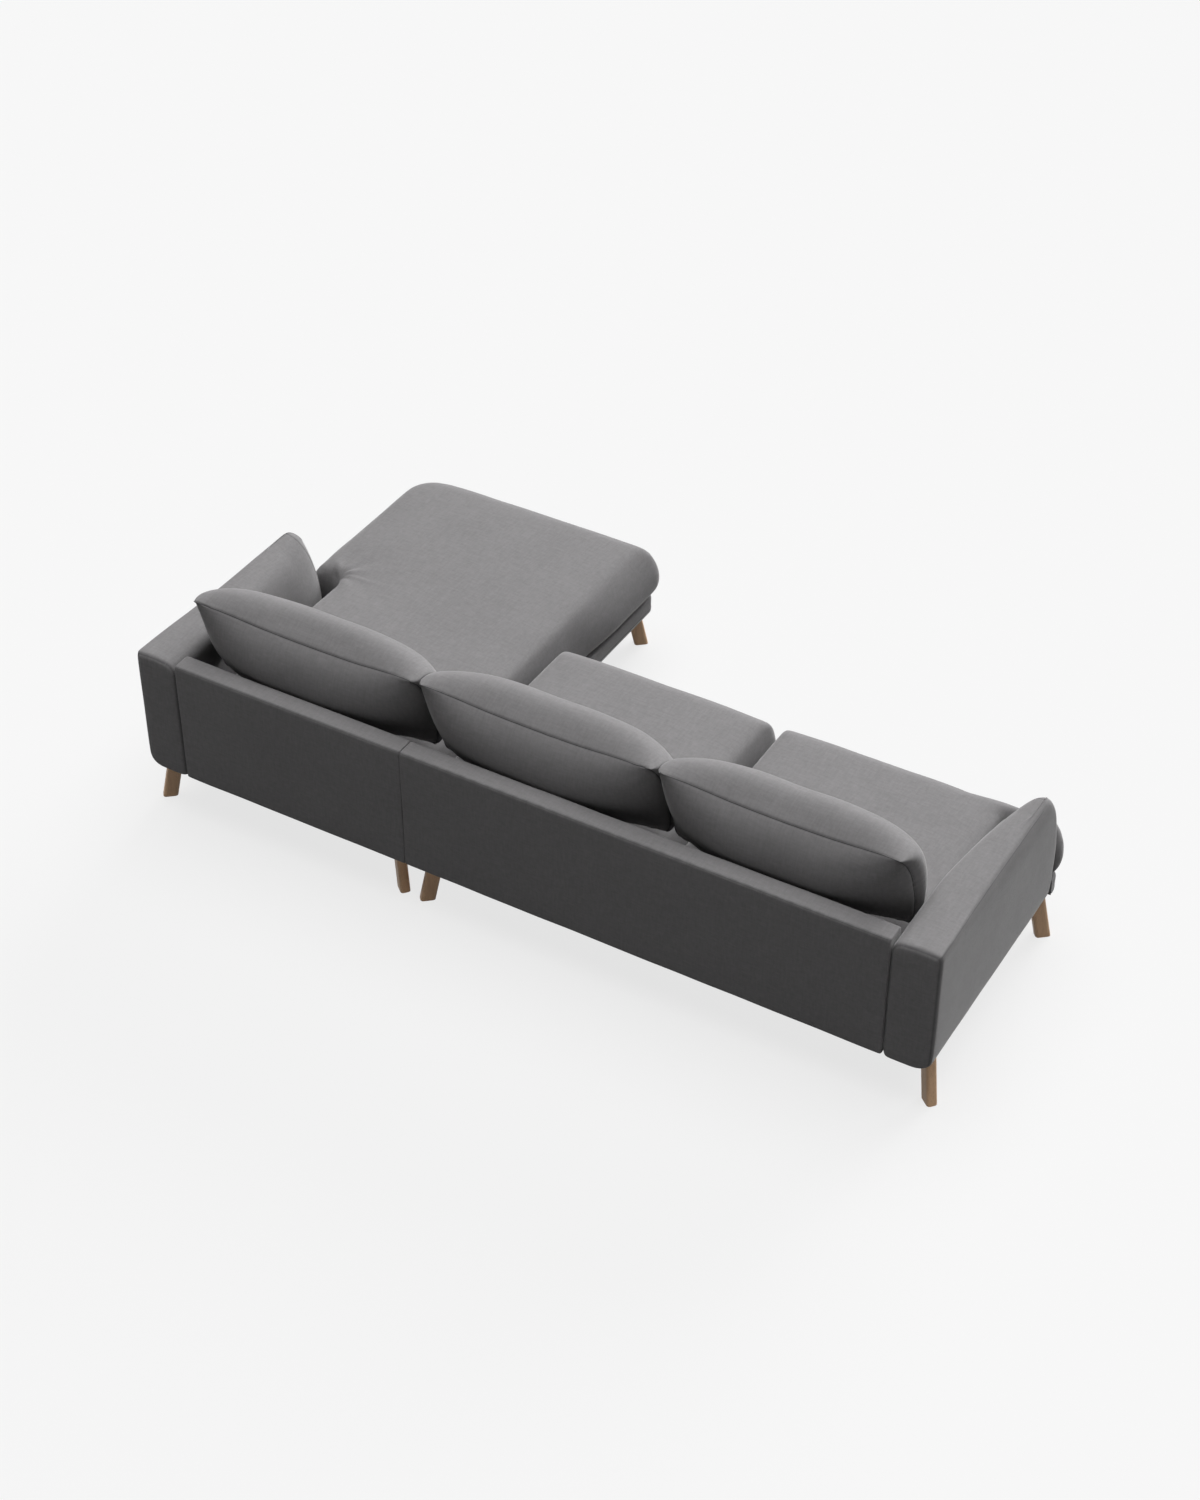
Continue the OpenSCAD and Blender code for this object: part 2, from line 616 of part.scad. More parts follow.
// Lifts a point of the top by the crown, which falls off to the sides and mostly to the front.
// share is how far up the rounded edge the point is.
seat_crown_fall = 0.9;
function seat_top_point(x, y, z, share, x0, x1, front) =
  let (u = (2 * x - x0 - x1) / (x1 - x0),
       v = (2 * y - front - seat_back_y) / (seat_back_y - front),
       c = max(0, 1 - u * u) * (1 - seat_crown_fall * pow(min(0, v), 2)))
  [x, y, z + seat_crown * share * share * sqrt(c)];

// Steps round the edges of a section, in degrees, and pieces across the top
seat_low_steps = [90, 60, 30];
seat_top_steps = [0, 22.5, 45, 67.5];
seat_across = 8;

// Section of a seat cushion across the depth y. x0 and x1 are its sides, and ear is where its
// wider front ends, or x1 where it has none.
function ear_radius(front) = min(seat_corner, (notch_y - front) / 2);
function seat_ring(x0, x1, ear, front, y) =
  let (ear_r = ear_radius(front), eared = ear > x1, front_e = y - front, back_e = seat_back_y - y,
       // Share of the ear that the section reaches, round behind it
       ear_t = 1 - max(0, 1 - (notch_y - y) / ear_r),
       out = y >= notch_y ? x1 : x1 + (ear - x1) * sqrt(max(0, 1 - pow(1 - ear_t, 2))),
       free_a = smooth((seat_front(SETTEE) - y) / seat_free_run),
       free_b = eared ? smooth((notch_y - y) / seat_side_roll) : 0,
       back_d = end_inset(back_e, seat_side_roll),
       xa = x0 - seat_spread(front, y) + end_inset(front_e, seat_small_corner) + back_d,
       xb = out - end_inset(front_e, eared ? ear_r : seat_small_corner) - back_d,
       rise = min(swell(front_e, seat_front_roll), swell(back_e, seat_side_roll)),
       fall = min(swell(front_e, seat_draw), swell(back_e, seat_draw)),
       zb = seat_z + seat_belly_h, up = (seat_h - seat_belly_h) * rise, down = seat_belly_h * fall,
       ra = seat_side_roll + (seat_free_roll - seat_side_roll) * free_a,
       rb = seat_side_roll + (seat_free_roll - seat_side_roll) * free_b,
       run = xb - xa - ra - rb,
       low = [for (a = seat_low_steps) [seat_draw * (1 - cos(a)), zb - down * sin(a)]],
       top = [for (a = seat_top_steps) [1 - cos(a), zb + up * sin(a), sin(a)]])
  concat(
    [for (p = low) [xa + p[0], y, p[1]]],
    [for (p = top) seat_top_point(xa + ra * p[0], y, p[1], p[2], x0, x1, front)],
    [for (i = [0:seat_across])
      seat_top_point(xa + ra + run * i / seat_across, y, zb + up, 1, x0, x1, front)],
    [for (p = backwards(top)) seat_top_point(xb - rb * p[0], y, p[1], p[2], x0, x1, front)],
    [for (p = backwards(low)) [xb - p[0], y, p[1]]]);

// Depths of the sections: close together where the cushion curves. The first stands a few
// degrees round the front roll, so that the end isn't an edge.
seat_first_step = 20;
seat_long_n = 8;
function seat_ys(front, eared) =
  let (ear_r = ear_radius(front), depth = seat_back_y - front)
  spread(concat(
    [for (b = [seat_first_step:17.5:90]) front + seat_front_roll * (cos(seat_first_step) - cos(b))],
    [for (i = [1:seat_long_n - 1]) front + depth * i / seat_long_n],
    eared ? [for (b = [0:22.5:90]) notch_y - ear_r * (1 - cos(b))] : [],
    [for (b = [0:22.5:90]) seat_back_y - seat_side_roll * (1 - cos(b))]), 3);

// Sides and ear of each seat cushion, in its module
function ear_end(chaise) = module_w(chaise) + (chaise ? chaise_ear_out : settee_ear_out);
function seat_extent(name) =
  name == "chaise" ? [seat_gap / 2, arm_x(CHAISE) - seat_gap, ear_end(CHAISE)] :
  name == "middle" ? [seat_gap / 2, seam_x - seat_gap / 2, seam_x - seat_gap / 2] :
  [seam_x + seat_gap / 2, arm_x(SETTEE) - seat_gap, ear_end(SETTEE)];

// Foam core, grown by the clearance where it is cut out of the cushion
module foam_core(name, grow = 0) {
  e = seat_extent(name);
  front = seat_front(name == "chaise") + seat_pad - grow;
  x0 = e[0] + seat_pad - grow;
  x1 = e[1] - seat_pad + grow;
  y2 = seat_back_y - seat_pad + grow;
  r = seat_corner - seat_pad;
  slab(rounded(box_points(x0, front, x1, y2), [r, r, r, r], 4),
       seat_z + seat_draw - grow, seat_z + seat_h - seat_pad / 2 + grow);
}

module seat_cushion(name) color(FABRIC) {
  e = seat_extent(name);
  front = seat_front(name == "chaise");
  difference() {
    skin(backwards([for (y = seat_ys(front, e[2] > e[1])) seat_ring(e[0], e[1], e[2], front, y)]));
    foam_core(name, fit);
  }
}
module seat_foam(name) color(FOAM) foam_core(name);

// Back cushions

// Half the thickness of the edge seam, and how squarely the swelling ends up and across
pillow_seam = 1.2;
pillow_end_up = 2.6;
pillow_end_across = 2.3;
pillow_waist_end = 3;
// A point of a back cushion. u runs across it and v up it, both from -1 to 1, and face is 1 on
// its front and -1 on its back. An inset gives the filling inside.
function pillow_point(w, u, v, face, inset) =
  let (h = pillow_h - 2 * inset,
       waist = pillow_waist * 2 / w * (1 - v * v) * pow(abs(u), pillow_waist_end),
       side = u * (w / 2 - inset) * (1 - waist),
       t = inset + h * (v + 1) / 2 - pillow_dip * (1 - u * u) * pow(max(0, v), 2),
       full_up = sqrt(max(0, 1 - pow(abs(v), pillow_end_up))),
       full_across = sqrt(max(0, 1 - pow(abs(u), pillow_end_across))),
       swell = (face > 0 ? pillow_front : pillow_back) - inset,
       thick = pillow_seam * (abs(v) < 1 ? 1 : 0) + swell * full_up * full_across,
       way = pillow_fan * v + face * pillow_lean,
       z = t * cos(pillow_lean) + thick * sin(way))
  [side, t * sin(pillow_lean) - face * thick * cos(way), max(z, inset - pillow_foot)];
// Pieces across and up a back cushion and its filling
pillow_across = 12;
pillow_up = 10;
filling_across = 6;
filling_up = 5;
function pillow_ring(w, u, inset, n) = concat(
  [for (j = [0:n]) pillow_point(w, u, -cos(180 * j / n), 1, inset)],
  [for (j = [n - 1:-1:1]) pillow_point(w, u, -cos(180 * j / n), -1, inset)]);
module pillow(w, inset, across, up)
  skin([for (i = [0:across]) pillow_ring(w, -cos(180 * i / across), inset, up)]);

// The bottom seam stands this far in front of the panel
pillow_seat_y = 150;
module pillow_at(name) {
  e = seat_extent(name);
  translate([(e[0] + e[1]) / 2, panel_y - pillow_seat_y, seat_top + fit + pillow_foot]) children();
}
function pillow_w(name) = let (e = seat_extent(name)) e[1] - e[0];

module back_cushion(name) color(FABRIC) pillow_at(name) difference() {
  pillow(pillow_w(name), 0, pillow_across, pillow_up);
  pillow(pillow_w(name), pillow_pad - fit, filling_across, filling_up);
}
module back_filling(name) color(FOAM) pillow_at(name)
  pillow(pillow_w(name), pillow_pad, filling_across, filling_up);

// The pieces of both modules

place(CHAISE) base_cover(CHAISE);  // chaise_base_cover
place(CHAISE) side_rails(CHAISE);  // chaise_side_rails
place(CHAISE) cross_rails(CHAISE);  // chaise_cross_rails
place(CHAISE) long_webbing(CHAISE);  // chaise_long_webbing
place(CHAISE) cross_webbing(CHAISE);  // chaise_cross_webbing
place(CHAISE) dust_cover(CHAISE);  // chaise_dust_cover
place(CHAISE) arm_cover(CHAISE);  // chaise_arm_cover
place(CHAISE) arm_rails(CHAISE);  // chaise_arm_rails
place(CHAISE) arm_posts(CHAISE);  // chaise_arm_posts
place(CHAISE) back_cover(CHAISE);  // chaise_back_cover
place(CHAISE) back_rails(CHAISE);  // chaise_back_rails
place(CHAISE) back_posts(CHAISE);  // chaise_back_posts
place(CHAISE) leg(CHAISE, 0);  // chaise_leg_back_outer
place(CHAISE) leg(CHAISE, 1);  // chaise_leg_back_inner
place(CHAISE) leg(CHAISE, 2);  // chaise_leg_front_outer
place(CHAISE) leg(CHAISE, 3);  // chaise_leg_front_inner
place(CHAISE) leg_bolts(CHAISE);  // chaise_leg_bolts
place(CHAISE) arm_bolts_set(CHAISE);  // chaise_arm_bolts
place(CHAISE) back_bolts_set(CHAISE);  // chaise_back_bolts
place(SETTEE) base_cover(SETTEE);  // settee_base_cover
place(SETTEE) side_rails(SETTEE);  // settee_side_rails
place(SETTEE) cross_rails(SETTEE);  // settee_cross_rails
place(SETTEE) long_webbing(SETTEE);  // settee_long_webbing
place(SETTEE) cross_webbing(SETTEE);  // settee_cross_webbing
place(SETTEE) dust_cover(SETTEE);  // settee_dust_cover
place(SETTEE) arm_cover(SETTEE);  // settee_arm_cover
place(SETTEE) arm_rails(SETTEE);  // settee_arm_rails
place(SETTEE) arm_posts(SETTEE);  // settee_arm_posts
place(SETTEE) back_cover(SETTEE);  // settee_back_cover
place(SETTEE) back_rails(SETTEE);  // settee_back_rails
place(SETTEE) back_posts(SETTEE);  // settee_back_posts
place(SETTEE) leg_block();  // settee_leg_block
place(SETTEE) leg(SETTEE, 0);  // settee_leg_back_outer
place(SETTEE) leg(SETTEE, 1);  // settee_leg_back_inner
place(SETTEE) leg(SETTEE, 2);  // settee_leg_front_outer
place(SETTEE) leg(SETTEE, 3);  // settee_leg_front_inner
place(SETTEE) leg_bolts(SETTEE);  // settee_leg_bolts
place(SETTEE) arm_bolts_set(SETTEE);  // settee_arm_bolts
place(SETTEE) back_bolts_set(SETTEE);  // settee_back_bolts
tie_plates();
tie_bolts();
place(CHAISE) seat_cushion("chaise");  // chaise_seat_cushion
place(CHAISE) seat_foam("chaise");  // chaise_seat_foam
place(CHAISE) back_cushion("chaise");  // chaise_back_cushion
place(CHAISE) back_filling("chaise");  // chaise_back_filling
place(SETTEE) seat_cushion("middle");  // middle_seat_cushion
place(SETTEE) seat_foam("middle");  // middle_seat_foam
place(SETTEE) back_cushion("middle");  // middle_back_cushion
place(SETTEE) back_filling("middle");  // middle_back_filling
place(SETTEE) seat_cushion("end");  // end_seat_cushion
place(SETTEE) seat_foam("end");  // end_seat_foam
place(SETTEE) back_cushion("end");  // end_back_cushion
place(SETTEE) back_filling("end");  // end_back_filling
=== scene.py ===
import math

import bmesh
import bpy
from mathutils import Matrix, Vector, noise
from mathutils.bvhtree import BVHTree
from mathutils.kdtree import KDTree


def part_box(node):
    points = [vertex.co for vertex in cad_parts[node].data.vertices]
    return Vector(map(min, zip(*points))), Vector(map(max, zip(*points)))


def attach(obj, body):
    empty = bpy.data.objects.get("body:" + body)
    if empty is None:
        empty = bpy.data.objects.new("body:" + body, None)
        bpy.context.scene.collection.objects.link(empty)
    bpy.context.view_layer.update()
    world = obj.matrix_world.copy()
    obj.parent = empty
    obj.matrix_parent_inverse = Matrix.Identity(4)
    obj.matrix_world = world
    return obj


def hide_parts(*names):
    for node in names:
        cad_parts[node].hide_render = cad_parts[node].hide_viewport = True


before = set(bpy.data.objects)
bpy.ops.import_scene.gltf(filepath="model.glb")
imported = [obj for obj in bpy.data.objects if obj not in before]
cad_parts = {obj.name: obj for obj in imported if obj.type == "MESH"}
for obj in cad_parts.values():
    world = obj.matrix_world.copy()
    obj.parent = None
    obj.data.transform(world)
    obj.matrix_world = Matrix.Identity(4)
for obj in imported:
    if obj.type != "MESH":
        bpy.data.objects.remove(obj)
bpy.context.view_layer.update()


def new_object(name, data):
    """A new object in the scene."""
    made = bpy.data.objects.new(name, data)
    bpy.context.scene.collection.objects.link(made)
    return made


# Camera

CAMERA_PLACE = Vector((-3.1439, 5.6246, 5.4189))
CAMERA_BACK = Vector((-0.3939, 0.6712, 0.6281)).normalized()
CAMERA_RIGHT = Vector((-0.8625, -0.5061, 0)).normalized()
CAMERA_LENS = 64.85


def set_camera():
    """The view of the photograph: from behind the sofa, looking down at its back."""
    up = CAMERA_BACK.cross(CAMERA_RIGHT)
    camera = new_object("camera", bpy.data.cameras.new("camera"))
    camera.data.lens = CAMERA_LENS
    turn = Matrix((CAMERA_RIGHT, up, CAMERA_BACK)).transposed().to_4x4()
    camera.matrix_world = Matrix.Translation(CAMERA_PLACE) @ turn
    bpy.context.scene.camera = camera


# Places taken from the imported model

GAP = 0.002
UNDER_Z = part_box("chaise_base_cover")[0].z
DECK_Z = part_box("chaise_base_cover")[1].z
SEAT_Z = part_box("middle_seat_cushion")[0].z
BACK_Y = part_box("chaise_back_cover")[1].y
PANEL_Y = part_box("chaise_back_cover")[0].y
PANEL_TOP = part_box("chaise_back_cover")[1].z
ARM_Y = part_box("chaise_arm_cover")[0].y
ARM_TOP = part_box("chaise_arm_cover")[1].z
NOTCH_Y = ARM_Y - GAP
SEAT_BACK_Y = PANEL_Y - GAP
SETTEE_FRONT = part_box("middle_seat_cushion")[0].y


class Module:
    """One of the two modules. Its x runs from its inner side towards its arm."""

    def __init__(self, name, way):
        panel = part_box(name + "_back_cover")
        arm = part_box(name + "_arm_cover")
        self.name = name
        self.way = way
        self.inner = panel[0].x if way > 0 else panel[1].x
        self.arm_x = abs((arm[0].x if way > 0 else arm[1].x) - self.inner)
        self.width = abs((arm[1].x if way > 0 else arm[0].x) - self.inner)

    def at(self, x, y, z):
        """The place that lies x from the inner side."""
        return Vector((self.inner + self.way * x, y, z))


CHAISE = Module("chaise", 1)
SETTEE = Module("settee", -1)
SEAM_X = SETTEE.arm_x / 2
# Rounding of the inner corner of the notch that an arm stands in
NOTCH_R = 0.044

# Curves


def sine(a):
    """Sine of an angle in degrees."""
    return math.sin(math.radians(a))


def cosine(a):
    """Cosine of an angle in degrees."""
    return math.cos(math.radians(a))


def smooth(t):
    """0 below 0, 1 above 1 and an even ease between them."""
    c = min(1.0, max(0.0, t))
    return c * c * (3 - 2 * c)


def end_inset(e, r):
    """How far a rounded end of radius r is drawn in at the distance e from it."""
    return 0.0 if e >= r else r - math.sqrt(max(0.0, r * r - (r - e) ** 2))


def spread(first, last, n):
    """n + 1 even values from first to last."""
    return [first + (last - first) * i / n for i in range(n + 1)]


def arc(cx, cy, r, first, last, n):
    """Points on a circle round (cx, cy), between two angles in degrees."""
    return [(cx + r * cosine(a), cy + r * sine(a)) for a in spread(first, last, n)]


def joined(runs, n):
    """A closed outline through runs of points, with n parts on the way from each to the next."""
    points = []
    for run, following in zip(runs, runs[1:] + runs[:1]):
        (px, py), (qx, qy) = run[-1], following[0]
        points += run + [(px + (qx - px) * i / n, py + (qy - py) * i / n) for i in range(1, n)]
    return points


# Meshes

CLOTH_FRAMES = 20
CLOTH_QUALITY = 5


def loft(bm, rings):
    """A skin over closed rings that have equally many points."""
    around, along = len(rings[0]), len(rings) - 1
    made = bmesh.ops.create_grid(bm, x_segments=around, y_segments=along, size=1)
    for vertex in made["verts"]:
        i = round((vertex.co.x + 1) / 2 * around) % around
        j = round((vertex.co.y + 1) / 2 * along)
        vertex.co = rings[j][i]


def block(low, high):
    """A bmesh with a block between two corners."""
    bm = bmesh.new()
    bmesh.ops.create_cube(bm, size=1)
    bmesh.ops.scale(bm, vec=high - low, verts=bm.verts)
    bmesh.ops.translate(bm, vec=(low + high) / 2, verts=bm.verts)
    return bm


def round_edges(bm, edges, radius, parts):
    """Rounds some edges."""
    bmesh.ops.bevel(bm, geom=edges, offset=radius, affect="EDGES", segments=parts, profile=0.5, material=-1)


def close(bm):
    """Joins seams, fills the ends and turns the faces outwards."""
    bmesh.ops.remove_doubles(bm, verts=bm.verts, dist=0.00002)
    bmesh.ops.dissolve_degenerate(bm, edges=bm.edges, dist=0.00001)
    bmesh.ops.holes_fill(bm, edges=bm.edges, sides=0)
    bmesh.ops.recalc_face_normals(bm, faces=bm.faces)


def make_piece(name, bm, finish, slot, body, *nodes):
    """A piece from a bmesh, with its finish, riding on a body in place of some nodes."""
    mesh = bpy.data.meshes.new(name)
    bm.to_mesh(mesh)
    bm.free()
    mesh.shade_smooth()
    mesh.materials.append(FINISHES[finish])
    piece = new_object(name, mesh)
    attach(piece, body)
    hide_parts(*nodes)
    return piece


def apply_modifiers(piece):
    """Makes what the modifiers of a piece give its own mesh."""
    shown = piece.evaluated_get(bpy.context.evaluated_depsgraph_get())
    mesh = bpy.data.meshes.new_from_object(shown)
    old = piece.data
    piece.modifiers.clear()
    piece.data = mesh
    mesh.name = piece.name
    bpy.data.meshes.remove(old)
    mesh.shade_smooth()


def remesh(piece, size):
    """Even squares over the whole piece."""
    even = piece.modifiers.new("even", "REMESH")
    even.mode = "VOXEL"
    even.voxel_size = size
    even.use_smooth_shade = True
    finish = piece.data.materials[0]
    apply_modifiers(piece)
    piece.data.materials.clear()
    piece.data.materials.append(finish)


def subdivide(piece):
    """One level of subdivision, applied."""
    finer = piece.modifiers.new("finer", "SUBSURF")
    finer.levels = 1
    finer.render_levels = 1
    apply_modifiers(piece)


def move_points(piece, place):
    """Moves each point of a piece to place(point, normal)."""
    mesh = piece.data
    moved = [place(v.co.copy(), v.normal.copy()) for v in mesh.vertices]
    for vertex, point in zip(mesh.vertices, moved):
        vertex.co = point
    mesh.update()


def unevenness(point, size, seed):
    """Soft waves of about the given size, from -1 to 1."""
    return noise.noise(point / size + Vector((seed * 7.3, seed * 3.1, seed * 5.7)))


def ripple(piece, height, size, seed=0):
    """Slight waves in a cover."""
    move_points(piece, lambda p, n: p + n * height * unevenness(p, size, seed))


def simulate(piece, pressure, cap, inward):
    """Blows a closed piece up as cloth. No point moves further out than about the cap, or
    further in than inward."""
    start = [v.co.copy() for v in piece.data.vertices]
    normals = [v.normal.copy() for v in piece.data.vertices]
    cloth = piece.modifiers.new("cloth", "CLOTH")
    settings = cloth.settings
    settings.quality = CLOTH_QUALITY
    settings.use_pressure = True
    settings.uniform_pressure_force = pressure
    settings.effector_weights.gravity = 0
    cloth.collision_settings.use_collision = False
    cloth.point_cache.frame_start = 1
    cloth.point_cache.frame_end = CLOTH_FRAMES
    for step in range(1, CLOTH_FRAMES + 1):
        bpy.context.scene.frame_set(step)
    shown = piece.evaluated_get(bpy.context.evaluated_depsgraph_get())
    ends = [v.co.copy() for v in shown.data.vertices]
    piece.modifiers.clear()
    for vertex, first, last, normal in zip(piece.data.vertices, start, ends, normals):
        way = last - first
        far = way.length
        if far > 0:
            way *= cap * math.tanh(far / cap) / far
        too_deep = -way.dot(normal) - inward
        vertex.co = first + way + normal * max(0.0, too_deep)
    piece.data.update()
    bpy.context.scene.frame_set(1)


# Seams

SEAM_R, SEAM_SUNK, SEAM_SIDES = 0.0011, 0.4, 6
SEAM_STEP = 0.006
GROOVE_WIDTH = 0.004


def tube_rings(path, radius, looped):
    """Rings round a path, carried along it without a twist."""
    last = len(path) - 1
    rings = []
    side = None
    for i, point in enumerate(path):
        ahead = path[(i + 1) % len(path)] if looped or i < last else path[i]
        behind = path[i - 1] if looped or i > 0 else path[i]
        way = (ahead - behind).normalized()
        side = way.orthogonal() if side is None else side - way * side.dot(way)
        side.normalize()
        across = way.cross(side)
        turns = [2 * math.pi * k / SEAM_SIDES for k in range(SEAM_SIDES)]
        rings.append([point + radius * (math.cos(a) * side + math.sin(a) * across) for a in turns])
    return rings + rings[:1] if looped else rings


def add_seam(name, path, piece, slot, body, looped=False, thread="seam"):
    """A row of stitching that lies on a piece along a path, in the groove it makes there."""
    mesh = piece.data
    tree = BVHTree.FromPolygons([v.co for v in mesh.vertices], [p.vertices[:] for p in mesh.polygons])
    laid = []
    for point in path:
        place, normal, _, _ = tree.find_nearest(point)
        laid.append(place - normal * SEAM_R * SEAM_SUNK)
    bm = bmesh.new()
    loft(bm, tube_rings(laid, SEAM_R, looped))
    close(bm)
    make_piece(name, bm, thread, slot, body)


def finder(points):
    """Finds the nearest of some points."""
    tree = KDTree(len(points))
    for i, point in enumerate(points):
        tree.insert(point, i)
    tree.balance()
    return tree


def press_groove(piece, path, depth, width):
    """Presses a soft valley into a piece along a path and marks it for the finish, which paints shade into
    the valley.
    """
    tree = finder(path)
    mesh = piece.data
    near = [tree.find(v.co)[2] for v in mesh.vertices]
    for vertex, far, normal in zip(mesh.vertices, near, [v.normal.copy() for v in mesh.vertices]):
        if far < 3 * width:
            vertex.co -= normal * depth * math.exp(-((far / width) ** 2))
    mesh.update()
    # The mark fades out from the path; the cloth finish darkens by it, as painted shade in the groove
    seam_shade_mask = mesh.attributes.get("seam") or mesh.attributes.new("seam", "FLOAT", "POINT")
    for far, value in zip(near, seam_shade_mask.data):
        value.value = max(value.value, math.exp(-((far / width) ** 2)))


def resampled(path, step):
    """A path with a point about every step along it."""
    points = [path[0]]
    for start, end in zip(path, path[1:]):
        n = max(1, round((end - start).length / step))
        points += [start.lerp(end, i / n) for i in range(1, n + 1)]
    return points


# Node groups and finishes


def new_group(name, inputs):
    """A shader group with named inputs (kind, value) that gives a colour, a roughness and a height."""
    tree = bpy.data.node_groups.new(name, "ShaderNodeTree")
    for label, (kind, value) in inputs.items():
        socket = tree.interface.new_socket(name=label, in_out="INPUT", socket_type="NodeSocket" + kind)
        socket.default_value = value
    for label, kind in (("Color", "Color"), ("Roughness", "Float"), ("Height", "Float")):
        tree.interface.new_socket(name=label, in_out="OUTPUT", socket_type="NodeSocket" + kind)
    return tree, tree.nodes.new("NodeGroupInput")


def give_out(tree, color, rough, height):
    """Links the results of a group to its outputs."""
    out = tree.nodes.new("NodeGroupOutput")
    for label, value in (("Color", color), ("Roughness", rough), ("Height", height)):
        tree.links.new(value, out.inputs[label])


def feed(tree, socket, value):
    """Gives a socket a plain value or links it to another socket."""
    if isinstance(value, bpy.types.NodeSocket):
        tree.links.new(value, socket)
    else:
        socket.default_value = value


def maths(tree, operation, a, b=0.0):
    """The result of a sum or a function of one or two values."""
    node = tree.nodes.new("ShaderNodeMath")
    node.operation = operation
    feed(tree, node.inputs[0], a)
    feed(tree, node.inputs[1], b)
    return node.outputs[0]


def times(tree, a, b):
    """The product of two values."""
    return maths(tree, "MULTIPLY", a, b)


def plus(tree, a, b):
    """The sum of two values."""
    return maths(tree, "ADD", a, b)


def blend_colors(tree, share, a, b):
    """A colour that lies a share of the way from one to another."""
    node = tree.nodes.new("ShaderNodeMix")
    node.data_type = "RGBA"
    feed(tree, node.inputs["Factor"], share)
    feed(tree, node.inputs[6], a)
    feed(tree, node.inputs[7], b)
    return node.outputs[2]


def stretched(tree, scale):
    """Object coordinates, stretched by a scale for each direction."""
    where = tree.nodes.new("ShaderNodeTexCoord")
    mapping = tree.nodes.new("ShaderNodeMapping")
    tree.links.new(where.outputs["Object"], mapping.inputs["Vector"])
    feed(tree, mapping.inputs["Scale"], scale)
    return mapping.outputs["Vector"]


def clouds(tree, vector, scale, detail=2.0, roughness=0.5):
    """Soft noise from 0 to 1."""
    node = tree.nodes.new("ShaderNodeTexNoise")
    tree.links.new(vector, node.inputs["Vector"])
    feed(tree, node.inputs["Scale"], scale)
    node.inputs["Detail"].default_value = detail
    node.inputs["Roughness"].default_value = roughness
    return node.outputs["Fac"]


def around_one(tree, value, share):
    """Turns 0 to 1 into a factor that lies a share to either side of 1."""
    centred = maths(tree, "SUBTRACT", value, 0.5)
    return plus(tree, times(tree, centred, share), 1.0)


def scaled_color(tree, color, factor):
    """A colour made lighter or darker by a factor."""
    node = tree.nodes.new("ShaderNodeVectorMath")
    node.operation = "SCALE"
    feed(tree, node.inputs[0], color)
    feed(tree, node.inputs["Scale"], factor)
    return node.outputs[0]


# Sizes of the cloth's uneven places, in waves per metre, and how far each one shades the colour
NAP_WAVES, BROAD_WAVES, PATCH_WAVES = 260.0, 3.5, 90.0
WARP_SLUBS, WEFT_SLUBS = (22, 170, 170), (170, 26, 26)
PATCH_SHARE, SLUB_SHARE, WEAVE_SHARE = 0.25, 0.22, 0.08


def cloth_group():
    """Woven cloth: threads both ways, flecks of yarn, soft shading and painted shade along the seams."""
    tree, given = new_group(
        "woven cloth",
        {"Color": ("Color", (0.25, 0.25, 0.25, 1)), "Threads per metre": ("Float", 700.0),
         "Fleck": ("Float", 0.2), "Shading": ("Float", 0.1), "Seam dark": ("Float", 0.35)})
    vector = stretched(tree, (1, 1, 1))
    parts = tree.nodes.new("ShaderNodeSeparateXYZ")
    tree.links.new(vector, parts.inputs[0])
    turns = times(tree, given.outputs["Threads per metre"], math.pi)
    waves = []
    for side in ("X", "Y"):
        along = plus(tree, parts.outputs[side], parts.outputs["Z"])
        waves.append(maths(tree, "SINE", times(tree, along, turns)))
    weave = around_one(tree, plus(tree, times(tree, waves[0], waves[1]), 0.5), 0.5)
    fleck = clouds(tree, vector, given.outputs["Threads per metre"], 1.0)
    nap = clouds(tree, vector, NAP_WAVES, 3.0)
    broad = clouds(tree, vector, BROAD_WAVES, 3.0)
    patches = clouds(tree, vector, PATCH_WAVES, 4.0, 0.65)
    slubs = plus(tree, clouds(tree, stretched(tree, WARP_SLUBS), 1.0),
                 clouds(tree, stretched(tree, WEFT_SLUBS), 1.0))
    # Painted shade: the colour is darkened where the seam mark lies, in the grooves along the seams
    seam_shade_mask = tree.nodes.new("ShaderNodeAttribute")
    seam_shade_mask.attribute_name = "seam"
    seam = times(tree, seam_shade_mask.outputs["Fac"], given.outputs["Seam dark"])
    factor = around_one(tree, fleck, given.outputs["Fleck"])
    slubs = maths(tree, "SUBTRACT", slubs, 0.5)
    for value, share in ((broad, given.outputs["Shading"]), (patches, PATCH_SHARE), (slubs, SLUB_SHARE),
                         (weave, WEAVE_SHARE)):
        factor = times(tree, factor, around_one(tree, value, share))
    factor = times(tree, factor, maths(tree, "SUBTRACT", 1.0, seam))
    rough = plus(tree, times(tree, nap, 0.12), 0.82)
    height = plus(tree, times(tree, weave, 0.5), times(tree, nap, 0.7))
    height = plus(tree, height, times(tree, fleck, 0.4))
    give_out(tree, scaled_color(tree, given.outputs["Color"], factor), rough, height)
    return tree


